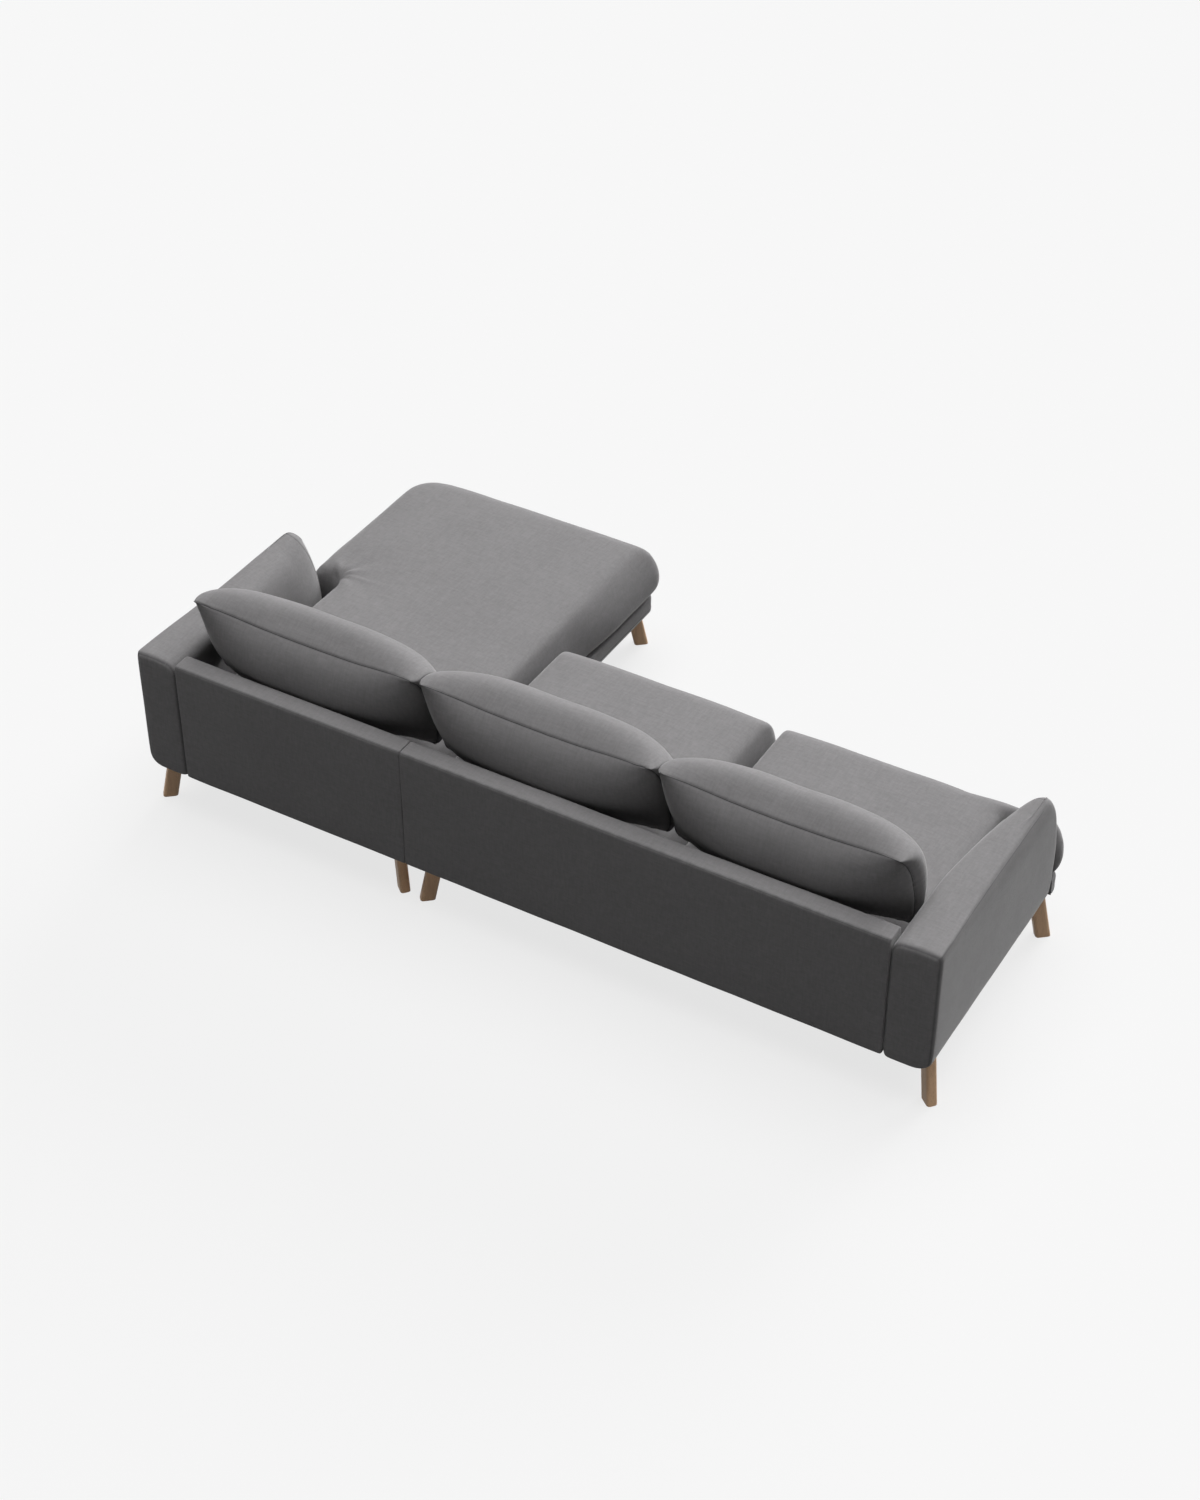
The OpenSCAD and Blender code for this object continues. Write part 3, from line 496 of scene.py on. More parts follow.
def wood_group():
    """Wood whose grain runs the long way of the stretch, with pores and year bands."""
    tree, given = new_group(
        "wood grain",
        {"Light": ("Color", (0.5, 0.33, 0.2, 1)), "Dark": ("Color", (0.33, 0.2, 0.11, 1)),
         "Stretch": ("Vector", (1.0, 1.0, 0.08)), "Pores": ("Float", 0.3)})
    vector = stretched(tree, given.outputs["Stretch"])
    bands = clouds(tree, vector, 70.0, 4.0, 0.6)
    fine = clouds(tree, vector, 420.0, 2.0, 0.6)
    broad = clouds(tree, vector, 12.0, 2.0)
    share = plus(tree, times(tree, bands, 0.7), times(tree, broad, 0.3))
    ramp = tree.nodes.new("ShaderNodeMapRange")
    tree.links.new(share, ramp.inputs["Value"])
    ramp.inputs["From Min"].default_value = 0.35
    ramp.inputs["From Max"].default_value = 0.65
    color = blend_colors(tree, ramp.outputs[0], given.outputs["Dark"], given.outputs["Light"])
    pores = times(tree, maths(tree, "LESS_THAN", fine, 0.4), given.outputs["Pores"])
    color = scaled_color(tree, color, maths(tree, "SUBTRACT", 1.0, pores))
    rough = plus(tree, times(tree, bands, 0.2), 0.38)
    give_out(tree, color, rough, maths(tree, "SUBTRACT", bands, pores))
    return tree


def speck_group():
    """A fine uneven surface of specks or cells, as foam, fibre and plated steel have."""
    tree, given = new_group(
        "specks",
        {"Color": ("Color", (0.5, 0.5, 0.5, 1)), "Specks per metre": ("Float", 400.0),
         "Contrast": ("Float", 0.3), "Rough": ("Float", 0.7)})
    vector = stretched(tree, (1, 1, 1))
    cells = tree.nodes.new("ShaderNodeTexVoronoi")
    tree.links.new(vector, cells.inputs["Vector"])
    tree.links.new(given.outputs["Specks per metre"], cells.inputs["Scale"])
    broad = clouds(tree, vector, 9.0, 3.0)
    factor = around_one(tree, cells.outputs["Distance"], given.outputs["Contrast"])
    factor = times(tree, factor, around_one(tree, broad, given.outputs["Contrast"]))
    rough = times(tree, given.outputs["Rough"], around_one(tree, broad, 0.3))
    give_out(tree, scaled_color(tree, given.outputs["Color"], factor), rough, cells.outputs["Distance"])
    return tree


GROUPS = {"cloth": cloth_group(), "wood": wood_group(), "specks": speck_group()}


def finish_of(name, group, values, bump, shader):
    """A material: a group's colour, roughness and height on a principled shader."""
    material = bpy.data.materials.new(name)
    material.use_nodes = True
    tree = material.node_tree
    base = tree.nodes["Principled BSDF"]
    effect = tree.nodes.new("ShaderNodeGroup")
    effect.node_tree = GROUPS[group]
    for label, value in values.items():
        effect.inputs[label].default_value = value
    for label, value in shader.items():
        base.inputs[label.replace("_", " ")].default_value = value
    relief = tree.nodes.new("ShaderNodeBump")
    relief.inputs["Strength"].default_value = bump[0]
    relief.inputs["Distance"].default_value = bump[1]
    tree.links.new(effect.outputs["Color"], base.inputs["Base Color"])
    tree.links.new(effect.outputs["Roughness"], base.inputs["Roughness"])
    tree.links.new(effect.outputs["Height"], relief.inputs["Height"])
    tree.links.new(relief.outputs["Normal"], base.inputs["Normal"])
    return material


GREY = (0.208, 0.203, 0.206, 1)
SEAM_GREY = (0.05, 0.05, 0.052, 1)
EDGE_GREY = (0.13, 0.13, 0.132, 1)
SHEEN = {"Sheen_Weight": 0.35, "Sheen_Roughness": 0.32, "Specular_IOR_Level": 0.2}
DULL = {"Specular_IOR_Level": 0.2}
OILED = {"Coat_Weight": 0.08, "Coat_Roughness": 0.35}
OAK = {"Light": (0.92, 0.60, 0.36, 1), "Dark": (0.77, 0.47, 0.27, 1), "Pores": 0.12}
PINE = {"Light": (0.72, 0.52, 0.31, 1), "Dark": (0.55, 0.36, 0.19, 1), "Pores": 0.08,
        "Stretch": (0.3, 0.3, 1.0)}


# The last input of the woven cloth is how far its colour is darkened along the seams, as painted shade in
# their grooves
def woven(color, threads, fleck, shading, painted_seam_shade):
    """Inputs of the woven cloth."""
    return {"Color": color, "Threads per metre": threads, "Fleck": fleck, "Shading": shading,
            "Seam dark": painted_seam_shade}


def specked(color, specks, contrast, rough):
    """Inputs of a surface of specks."""
    return {"Color": color, "Specks per metre": specks, "Contrast": contrast, "Rough": rough}


# Name, group, its inputs, strength and depth of the relief, and what else the shader gets
FINISH_ROWS = {
    "cloth": ("grey woven cloth", "cloth", woven(GREY, 650.0, 0.22, 0.12, 0.4), (0.35, 0.0006), SHEEN),
    "seam": ("dark seam thread", "cloth", woven(SEAM_GREY, 900.0, 0.3, 0.1, 0.0), (0.4, 0.0004), DULL),
    "edge": ("grey edge thread", "cloth", woven(EDGE_GREY, 900.0, 0.3, 0.1, 0.0), (0.4, 0.0004), DULL),
    "oak": ("pale oak", "wood", OAK, (0.25, 0.0006), OILED),
    "pine": ("raw pine", "wood", PINE, (0.3, 0.0008), {}),
    "foam": ("cream foam", "specks", specked((0.78, 0.70, 0.50, 1), 700.0, 0.2, 0.9), (0.5, 0.0008), {}),
    "fibre": ("white fibre", "specks", specked((0.8, 0.8, 0.79, 1), 120.0, 0.15, 0.95), (0.6, 0.003), {}),
    "webbing": ("black elastic", "cloth", woven((0.03, 0.03, 0.032, 1), 420.0, 0.5, 0.2, 0.35),
                (0.7, 0.0008), {}),
    "dust": ("black felt", "specks", specked((0.02, 0.02, 0.021, 1), 350.0, 0.5, 0.95), (0.5, 0.0005), {}),
    "steel": ("plated steel", "specks", specked((0.62, 0.62, 0.6, 1), 900.0, 0.12, 0.36),
              (0.15, 0.0002), {"Metallic": 1.0}),
}
FINISHES = {key: finish_of(*row) for key, row in FINISH_ROWS.items()}
NODE_FINISHES = {
    "_leg_back_outer": "oak", "_leg_back_inner": "oak", "_leg_front_outer": "oak", "_leg_front_inner": "oak",
    "_rails": "pine", "_posts": "pine", "_leg_block": "pine", "_webbing": "webbing",
    "_bolts": "steel", "tie_plates": "steel",
}


def finish_nodes():
    """Gives each node of the model that stays in sight its finish."""
    for name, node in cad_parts.items():
        for ending, finish in NODE_FINISHES.items():
            if name.endswith(ending):
                for slot in node.material_slots:
                    slot.material = FINISHES[finish]


# Back panels

PANEL_R, PANEL_END_R = 0.009, 0.005
PANEL_SWELL, PANEL_SWELL_RUN = 0.003, 0.12
PANEL_GROOVE = 0.0006
# The two panels meet in the middle of the gap between their solids
PANEL_REACH = (CHAISE.inner - SETTEE.inner) / 2 - 0.0002


def panel_ring(x, module):
    """Section of a back panel: rounded edges and slightly swelling faces."""
    end = min(x + PANEL_REACH, module.arm_x - x)
    inset = end_inset(end, PANEL_END_R)
    y0, y1 = PANEL_Y + inset, BACK_Y - inset
    z0, z1 = UNDER_Z + inset, PANEL_TOP - inset
    r = PANEL_R
    corners = [
        arc(y1 - r, z1 - r, r, 0, 90, 5), arc(y0 + r, z1 - r, r, 90, 180, 5),
        arc(y0 + r, z0 + r, r, 180, 270, 5), arc(y1 - r, z0 + r, r, 270, 360, 5)]
    swell = PANEL_SWELL * smooth(end / PANEL_SWELL_RUN)
    middle = (z0 + z1) / 2
    ring = []
    for y, z in joined(corners, 8):
        up = (z - middle) / (z1 - z0) * 2
        out = swell * max(0.0, 1 - up ** 4) * (1 if y > (y0 + y1) / 2 else 0)
        ring.append(module.at(x, y + out, z))
    return ring


def make_panel(module):
    """A back panel with a seam along its upper back edge."""
    ends = [PANEL_END_R * (1 - cosine(a)) for a in (0, 30, 60, 90)]
    middle = spread(PANEL_END_R, module.arm_x - PANEL_END_R, round(module.arm_x / 0.025))[1:-1]
    xs = [e - PANEL_REACH for e in ends] + middle + [module.arm_x - e for e in reversed(ends)]
    bm = bmesh.new()
    loft(bm, [panel_ring(x, module) for x in xs])
    close(bm)
    name = module.name + "_back_panel"
    piece = make_piece(name, bm, "cloth", "panel_fabric", "frame", module.name + "_back_cover")
    subdivide(piece)
    ripple(piece, 0.0012, 0.16, seed=2)
    z = PANEL_TOP - PANEL_R / 3
    path = [module.at(x, BACK_Y - PANEL_R / 3, z) for x in spread(GAP, module.arm_x - GAP, 160)]
    press_groove(piece, path, PANEL_GROOVE, GROOVE_WIDTH)
    add_seam(name + "_seam", path, piece, "panel_fabric", "frame", thread="edge")


# Arms

ARM_TOP_R, ARM_SWEEP_W, ARM_SWEEP_H, ARM_SWEEP_L = 0.048, 0.128, 0.320, 0.560
ARM_LOW_R, ARM_SLANT, ARM_TUCK, ARM_SLANT_L = 0.040, 0.062, 0.020, 0.300
ARM_FRONT_R, ARM_NOSE_R, ARM_BACK_R, ARM_EDGE_R = 0.046, 0.022, 0.018, 0.026
ARM_WING_W, ARM_WING_L, ARM_RIDGE, ARM_BELLY = 0.098, 0.200, 0.002, 0.115
ARM_CROWN, ARM_LOW_EDGE_R, ARM_FULL = 0.005, 0.008, 0.8
ARM_EDGE_H, ARM_EDGE_RUN, ARM_EDGE_LEAST = 0.080, 0.40, 0.3
# The middles of an arm's front and back: each step's size and how far it stands out
ARM_FRONT_SWELL = ((0.4, 0.004), (0.75, 0.0035), (0.93, 0.0015))
ARM_BACK_SWELL = ((0.94, 0.001), (0.6, 0.002))
ARM_GROOVE, EDGE_SEAM_IN, TOP_SEAM_START = 0.0010, 0.3, 0.08
BAND_Y = ARM_Y + 0.034
BOARD_COVER = 0.0005
ARM_CLEAR = 0.0003


def arm_edge(y):
    """How soft the arm's upper outer edge is at a depth: 1 in front, less at the back."""
    return ARM_EDGE_LEAST + (1 - ARM_EDGE_LEAST) * smooth((BACK_Y - y) / ARM_EDGE_RUN)


def arm_shift(y, z):
    """How far the section at the depth y stands back at the height z."""
    belly = UNDER_Z + ARM_BELLY
    above = max(0.0, z - belly) / (ARM_TOP - belly)
    below = max(0.0, belly - z) / ARM_BELLY
    return (ARM_SLANT * above ** 2 + ARM_TUCK * below ** 2) * smooth((ARM_Y + ARM_SLANT_L - y) / ARM_SLANT_L)


def arm_levels(module, y):
    """Height, inner side and outer side of an arm's section, from the bottom up."""
    e = y - ARM_Y
    back_d = end_inset(BACK_Y - y, ARM_BACK_R)
    d = end_inset(e, ARM_FRONT_R)
    k = smooth((ARM_SWEEP_L - e) / ARM_SWEEP_L)
    low = ARM_LOW_R - d / 2
    x0 = module.arm_x + back_d + d
    wing_x = module.arm_x + back_d + end_inset(e / ARM_WING_L, 1) * ARM_WING_W
    x1 = module.width - back_d - end_inset(e, ARM_NOSE_R)
    z0 = UNDER_Z + (d + back_d) / 3
    z1 = ARM_TOP - d - back_d
    edge_r, edge_h = ARM_EDGE_R * arm_edge(y), ARM_EDGE_H * arm_edge(y)
    rx = min(ARM_TOP_R + (ARM_SWEEP_W - ARM_TOP_R) * k - back_d, x1 - edge_r - ARM_RIDGE - wing_x)
    rz = ARM_TOP_R + (ARM_SWEEP_H - ARM_TOP_R) * k - back_d
    levels = []
    for share in (0.35, 0.7):
        inset = (1 - share) * (x1 - x0) * 0.4
        levels.append((z0, x0 + ARM_LOW_EDGE_R + inset, x1 - low - inset))
    for a in (0, 22.5, 45, 67.5, 90):
        c, s = cosine(a), sine(a)
        levels.append((z0 + low * (1 - c), x0 + ARM_LOW_EDGE_R * (1 - s), x1 - low * (1 - s)))
    for share in (0.25, 0.5, 0.75):
        z = z0 + low + (z1 - rz - z0 - low) * share
        levels.append((z, x0 + (wing_x - x0) * share, x1))
    for a in range(0, 91, 9):
        c, s = cosine(a) ** ARM_FULL, sine(a) ** ARM_FULL
        down = rz * (1 - s)
        shoulder = edge_r * end_inset(down / edge_h, 1)
        levels.append((z1 - down, wing_x + rx * (1 - c), x1 - shoulder))
    top_in, top_out = wing_x + rx, x1 - edge_r
    for share in (0.3, 0.65):
        inset = share * (top_out - top_in) / 2
        levels.append((z1 + ARM_CROWN * share, top_in + inset, top_out - inset))
    return levels


def arm_ring(module, y):
    """The section of an arm at a depth, round from the outer side to the inner."""
    levels = arm_levels(module, y)
    outer = [module.at(out, y + arm_shift(y, z), z) for z, _, out in levels]
    inner = [module.at(x, y + arm_shift(y, z), z) for z, x, _ in reversed(levels)]
    return outer + inner


def arm_depths():
    """Depths of an arm's sections, closer together round its two ends."""
    front = [ARM_Y + ARM_FRONT_R * (1 - cosine(b)) for b in range(0, 91, 10)]
    middle = spread(ARM_Y + ARM_FRONT_R, BACK_Y - ARM_BACK_R, 42)[1:-1]
    back = [BACK_Y - ARM_BACK_R * (1 - cosine(b)) for b in range(90, -1, -15)]
    return front + middle + back


def shrunk(ring, share, out):
    """A smaller copy of a ring about its own middle, moved out along Y."""
    middle = sum(ring, Vector()) / len(ring)
    return [middle + (p - middle) * share + Vector((0, out, 0)) for p in ring]


def arm_seams(module):
    """Paths of an arm's seams: along its upper outer edge, round its back and across near the front."""
    top = []
    for y in spread(ARM_Y + TOP_SEAM_START, BACK_Y - 0.004, 90):
        in_by = EDGE_SEAM_IN * ARM_EDGE_R * arm_edge(y)
        x = module.width - in_by - end_inset(y - ARM_Y, ARM_NOSE_R)
        z = ARM_TOP - in_by - end_inset(y - ARM_Y, ARM_FRONT_R)
        top.append(module.at(x, y + arm_shift(y, ARM_TOP), z))
    back_y = BACK_Y - ARM_BACK_R * 0.3
    levels = [level for level in arm_levels(module, back_y) if level[0] > UNDER_Z + 0.02]
    rim = ([module.at(out, back_y, z) for z, _, out in levels]
           + [module.at(x, back_y, z) for z, x, _ in reversed(levels)])
    levels = [level for level in arm_levels(module, BAND_Y) if level[0] > UNDER_Z + 0.03]
    band = [module.at(x, BAND_Y + arm_shift(BAND_Y, z), z) for z, x, _ in levels]
    return {"top": top, "rim": rim, "band": band}


def make_arm(module):
    """An arm with its seams."""
    rings = [arm_ring(module, y) for y in arm_depths()]
    front = [shrunk(rings[0], share, -bulge) for share, bulge in ARM_FRONT_SWELL]
    back = [shrunk(rings[-1], share, bulge) for share, bulge in ARM_BACK_SWELL]
    bm = bmesh.new()
    loft(bm, front + rings + back)
    close(bm)
    name = module.name + "_arm"
    piece = make_piece(name, bm, "cloth", "arm_fabric", "frame", module.name + "_arm_cover")
    subdivide(piece)
    ripple(piece, 0.0012, 0.14, seed=4)
    keep_outside(piece, module)
    for label, path in arm_seams(module).items():
        path = resampled(path, SEAM_STEP)
        press_groove(piece, path, ARM_GROOVE, GROOVE_WIDTH)
        add_seam(name + "_" + label + "_seam", path, piece, "arm_fabric", "frame", thread="edge")


def make_arm_underside(module):
    """The cover where it is drawn tight round the board that the arm stands on."""
    low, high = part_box(module.name + "_arm_rails")
    board_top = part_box(module.name + "_arm_posts")[0].z
    lift = Vector((BOARD_COVER, BOARD_COVER, BOARD_COVER))
    bm = block(low - lift, Vector((high.x, high.y, board_top)) + lift)
    round_edges(bm, bm.edges[:], 2 * BOARD_COVER, 2)
    close(bm)
    make_piece(module.name + "_arm_underside", bm, "cloth", "arm_fabric", "frame")


def keep_outside(piece, module):
    """An arm stays on its own side of the back panel and the base."""
    limit = module.inner + module.way * (module.arm_x + ARM_CLEAR)

    def place(point, normal):
        x = max(point.x, limit) if module.way > 0 else min(point.x, limit)
        return Vector((x, point.y, max(point.z, UNDER_Z)))

    move_points(piece, place)


# Bases

BASE_WALL, BASE_DECK = 0.006, 0.005
BASE_CORNER, BASE_EDGE_R, SOFT_EDGE = 0.040, 0.006, 0.002
BASE_EAR_IN = 0.004
DUST_IN, DUST_LOW, DUST_THICK = 0.0006, 0.0003, 0.001
DUST_SHARES = (0.2, 0.85, 0.97, 1.0)


def base_outline(module, inset):
    """Outline of a base: a rectangle with an ear in front of the arm."""
    x0, x1, x2 = inset, module.arm_x - inset, module.width - BASE_EAR_IN - inset
    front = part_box(module.name + "_base_cover")[0].y + inset
    y1, y2 = NOTCH_Y - inset, PANEL_Y - inset
    r = BASE_CORNER - inset
    runs = [arc(x0 + r, front + r, r, 180, 270, 8), arc(x2 - r, front + r, r, 270, 360, 8)]
    notch_r = NOTCH_R + inset
    notch = arc(x1 + notch_r, y1 + notch_r, notch_r, 270, 180, 6)
    return joined(runs + [[(x2, y1)], notch, [(x1, y2)], [(x0, y2)]], 14)


def level_ring(module, outline, z):
    """An outline at one height."""
    return [module.at(x, y, z) for x, y in outline]


def make_base(module):
    """The cloth skirt and deck of a base, open below."""
    inner = BASE_WALL
    rings = [level_ring(module, base_outline(module, inset), z) for inset, z in (
        (inner, DECK_Z - BASE_DECK), (inner, UNDER_Z + SOFT_EDGE), (inner - SOFT_EDGE, UNDER_Z),
        (SOFT_EDGE, UNDER_Z), (0, UNDER_Z + SOFT_EDGE), (0, UNDER_Z + 0.02), (0, DECK_Z - 0.02),
        (0, DECK_Z - BASE_EDGE_R), (0.001, DECK_Z - BASE_EDGE_R / 2), (BASE_EDGE_R / 2, DECK_Z - 0.001),
        (BASE_EDGE_R, DECK_Z), (0.020, DECK_Z))]
    bm = bmesh.new()
    loft(bm, rings)
    close(bm)
    name = module.name + "_base"
    piece = make_piece(name, bm, "cloth", "base_fabric", "frame", module.name + "_base_cover")
    path = level_ring(module, base_outline(module, 0.0005), UNDER_Z + 0.012)
    add_seam(name + "_hem_seam", path, piece, "base_fabric", "frame", looped=True)


def make_dust_cover(module):
    """Thin felt that is stretched under a base."""
    outline = base_outline(module, BASE_WALL + DUST_IN)
    xs, ys = zip(*outline)
    mid_x, mid_y = Vector((sum(xs) / len(xs), sum(ys) / len(ys)))

    def ring(share, z):
        smaller = [(mid_x + (x - mid_x) * share, mid_y + (y - mid_y) * share) for x, y in outline]
        return level_ring(module, smaller, z)

    bottom = UNDER_Z + DUST_LOW
    top = bottom + DUST_THICK
    levels = [(share, top) for share in DUST_SHARES] + [(share, bottom) for share in reversed(DUST_SHARES)]
    bm = bmesh.new()
    loft(bm, [ring(share, z) for share, z in levels])
    close(bm)
    name = module.name + "_dust_cloth"
    piece = make_piece(name, bm, "dust", "dust_cloth", "frame", module.name + "_dust_cover")
    flat = (max(xs) - min(xs), max(ys) - min(ys))


# Seat cushions

SEAT_H, SEAT_CROWN, SEAT_BELLY, SEAT_DRAW = 0.202, 0.018, 0.060, 0.034
SEAT_FRONT_ROLL, SEAT_SIDE_ROLL, SEAT_FREE_ROLL = 0.096, 0.040, 0.084
SEAT_CORNER, SEAT_SMALL_CORNER, SEAT_EAR_BACK = 0.150, 0.056, 0.030
SEAT_LEAST_R, SEAT_CROWN_FALL, SEAT_STRAY = 0.012, 0.9, 0.004
SEAT_EAR_ROLL, SEAT_EAR_DRAW, SEAT_NOTCH_ROLL = 0.028, 0.012, 0.012
SEAT_FREE_SPREAD, SEAT_FREE_RUN, SEAT_FREE_REACH = 0.030, 0.30, 0.25
FOLD_DEPTH, FOLDS, FOLD_REACH, FOLD_START, FOLD_UP = 0.0034, 7.5, 0.09, 0.03, 0.12
SEAT_VOXEL = 0.014
SEAT_PRESSURE, SEAT_CAP, SEAT_SLACK = 4.0, 0.005, 0.002
LOW_SEAM_AT, LOW_SEAM_STEP = 55, 0.01
FOAM_CORNER, FOAM_RIM = 0.088, 0.006


class Seat:
    """Sides, front and ear of a seat cushion, in its module."""

    def __init__(self, name, module, x0, x1):
        low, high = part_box(name + "_seat_cushion")
        self.name = name
        self.module = module
        self.x0 = x0
        self.x1 = x1
        self.front = low.y
        far = high.x if module.way > 0 else low.x
        self.ear = abs(far - module.inner)
        self.eared = name != "middle"
        self.ear_r = min(SEAT_CORNER, (NOTCH_Y - self.front) / 2)
        self.free = module is CHAISE

    def across(self, point):
        """The point's x in the module."""
        return (point.x - self.module.inner) * self.module.way


def seat_outline(seat, a, top):
    """Outline of a seat cushion at the angle a round its upper or lower edge."""
    turn = 1 - cosine(a)
    side = (SEAT_SIDE_ROLL if top else SEAT_DRAW) * turn
    end = (SEAT_FREE_ROLL if top else SEAT_DRAW) * turn
    front = (SEAT_FRONT_ROLL if top else SEAT_DRAW) * turn
    ear_roll = min(SEAT_FRONT_ROLL, 0.6 * (NOTCH_Y - seat.front))
    ear_front = (ear_roll if top else SEAT_DRAW) * turn
    x0, x1 = seat.x0 + side, seat.x1 - side
    back = SEAT_BACK_Y - side
    small = max(SEAT_LEAST_R, SEAT_SMALL_CORNER - front)
    back_r = max(SEAT_LEAST_R, SEAT_SIDE_ROLL - side)
    runs = [arc(x0 + small, seat.front + front + small, small, 180, 270, 6)]
    if seat.eared:
        ear = seat.ear - end
        corner = max(SEAT_LEAST_R, seat.ear_r - ear_front)
        behind = (SEAT_EAR_ROLL if top else SEAT_EAR_DRAW) * turn
        fillet = NOTCH_R + (SEAT_NOTCH_ROLL * turn if top else 0)
        runs.append([(x1 - 0.12, seat.front + front)])
        runs.append(arc(ear - corner, seat.front + ear_front + corner, corner, 270, 360, 8))
        back_ear = min(SEAT_EAR_BACK, seat.ear_r)
        runs.append(arc(ear - back_ear, NOTCH_Y - behind - back_ear, back_ear, 0, 90, 10))
        runs.append(arc(x1 + fillet, NOTCH_Y - behind + fillet, fillet, 270, 180, 5))
    else:
        runs.append(arc(x1 - small, seat.front + front + small, small, 270, 360, 6))
    runs.append(arc(x1 - back_r, back - back_r, back_r, 0, 90, 5))
    runs.append(arc(x0 + back_r, back - back_r, back_r, 90, 180, 5))
    return joined(runs, 12)


def seat_spread(seat, x, y):
    """How far the free side of the long cushion swells out at a depth."""
    if not seat.free:
        return 0.0
    along = smooth((SETTEE_FRONT - SEAT_STRAY - y) / SEAT_FREE_RUN)
    near = 1 - smooth((x - seat.x0) / SEAT_FREE_REACH)
    return SEAT_FREE_SPREAD * along * near


def seat_top(seat, x, y, share):
    """Rise of the crown at a place, for a point a share up the rounded edge."""
    u = (2 * x - seat.x0 - seat.x1) / (seat.x1 - seat.x0)
    v = (2 * y - seat.front - SEAT_BACK_Y) / (SEAT_BACK_Y - seat.front)
    c = max(0.0, 1 - u * u) * (1 - SEAT_CROWN_FALL * min(0.0, v) ** 2)
    return SEAT_CROWN * share * share * math.sqrt(max(0.0, c))


def out_of_notch(seat, x, y):
    """Keeps a place out of the notch that the arm stands in, whose inner corner is rounded."""
    aside, behind = x - seat.x1, y - NOTCH_Y
    if min(aside, behind) <= 0:
        return x, y
    if max(aside, behind) >= NOTCH_R:
        return (x, NOTCH_Y) if aside > behind else (seat.x1, y)
    far = math.hypot(aside - NOTCH_R, behind - NOTCH_R)
    grown = max(1.0, NOTCH_R / far)
    return (seat.x1 + NOTCH_R + (aside - NOTCH_R) * grown, NOTCH_Y + NOTCH_R + (behind - NOTCH_R) * grown)


def keep_seat_in(seat, point):
    """A seat cushion lies flat on its deck and against its neighbours."""
    x, y, z = seat.across(point), point.y, max(point.z, SEAT_Z)
    if y > SETTEE_FRONT or not seat.free:
        x = max(x, seat.x0)
    y = min(max(y, seat.front - SEAT_STRAY), SEAT_BACK_Y)
    x, y = out_of_notch(seat, x, y)
    return seat.module.at(min(x, seat.ear + SEAT_STRAY if seat.eared else seat.x1), y, z)


def notch_folds(seat, point, normal):
    """Creases that run out from the inner corner of the notch, where the cover is pulled."""
    if not seat.free:
        return point
    x, y = seat.across(point) - seat.x1, point.y - NOTCH_Y
    far = math.hypot(x, y)
    angle = math.atan2(y, x)
    fade = math.exp(-far / FOLD_REACH) * smooth(far / FOLD_START) * smooth((point.z - SEAT_Z) / FOLD_UP)
    return point + normal * FOLD_DEPTH * fade * math.cos(FOLDS * angle + 0.8)


def make_seat(seat):
    """A crowned seat cushion with a seam round its lower edge."""
    belly, up = SEAT_Z + SEAT_BELLY, SEAT_H - SEAT_BELLY
    low = [(a, False, belly - SEAT_BELLY * sine(a)) for a in (90, 72, 54, 36, 18)]
    high = [(a, True, belly + up * sine(a)) for a in (0, 12, 24, 36, 48, 60, 72, 82, 90)]
    rings = [level_ring(seat.module, seat_outline(seat, a, top), z) for a, top, z in low + high]
    bm = bmesh.new()
    loft(bm, rings)
    close(bm)
    body = seat.name + "_seat"
    name = seat.name + "_seat_cushion_cover"
    piece = make_piece(name, bm, "cloth", "seat_fabric", body, seat.name + "_seat_cushion")
    remesh(piece, SEAT_VOXEL)

    def crowned(point, normal):
        x = seat.across(point)
        share = min(1.0, max(0.0, (point.z - belly) / up))
        rise = seat_top(seat, x, point.y, share)
        height = min(1.0, max(0.0, (point.z - SEAT_Z) / SEAT_H))
        out = seat_spread(seat, x, point.y) * math.sin(math.pi * height ** 0.7)
        return seat.module.at(x - out, point.y, point.z + rise)

    move_points(piece, crowned)
    move_points(piece, lambda p, n: p - n * SEAT_SLACK)
    simulate(piece, SEAT_PRESSURE, SEAT_CAP, SEAT_SLACK)
    ripple(piece, 0.0018, 0.13, seed=5)
    subdivide(piece)
    move_points(piece, lambda p, n: notch_folds(seat, p, n))
    move_points(piece, lambda p, n: keep_seat_in(seat, p))
    outline = seat_outline(seat, LOW_SEAM_AT, False)
    path = level_ring(seat.module, outline, belly - SEAT_BELLY * sine(LOW_SEAM_AT))
    path = resampled(path + path[:1], LOW_SEAM_STEP)[:-1]
    add_seam(name + "_low_seam", path, piece, "seat_fabric", body, looped=True)


def make_foam(seat):
    """Foam core of a seat cushion, with softly rounded edges."""
    node = seat.name + "_seat_foam"
    low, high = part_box(node)
    bm = block(low, high)
    upright = [e for e in bm.edges if abs(e.verts[0].co.z - e.verts[1].co.z) > (high.z - low.z) / 2]
    round_edges(bm, upright, FOAM_CORNER, 6)
    rims = [e for e in bm.edges if abs(e.verts[0].co.z - e.verts[1].co.z) < 0.001 and e.is_manifold
            and abs(e.link_faces[0].normal.dot(e.link_faces[1].normal)) < 0.5]
    round_edges(bm, rims, FOAM_RIM, 3)
    close(bm)
    piece = make_piece(seat.name + "_foam_core", bm, "foam", "foam", seat.name + "_seat", node)


# Back cushions

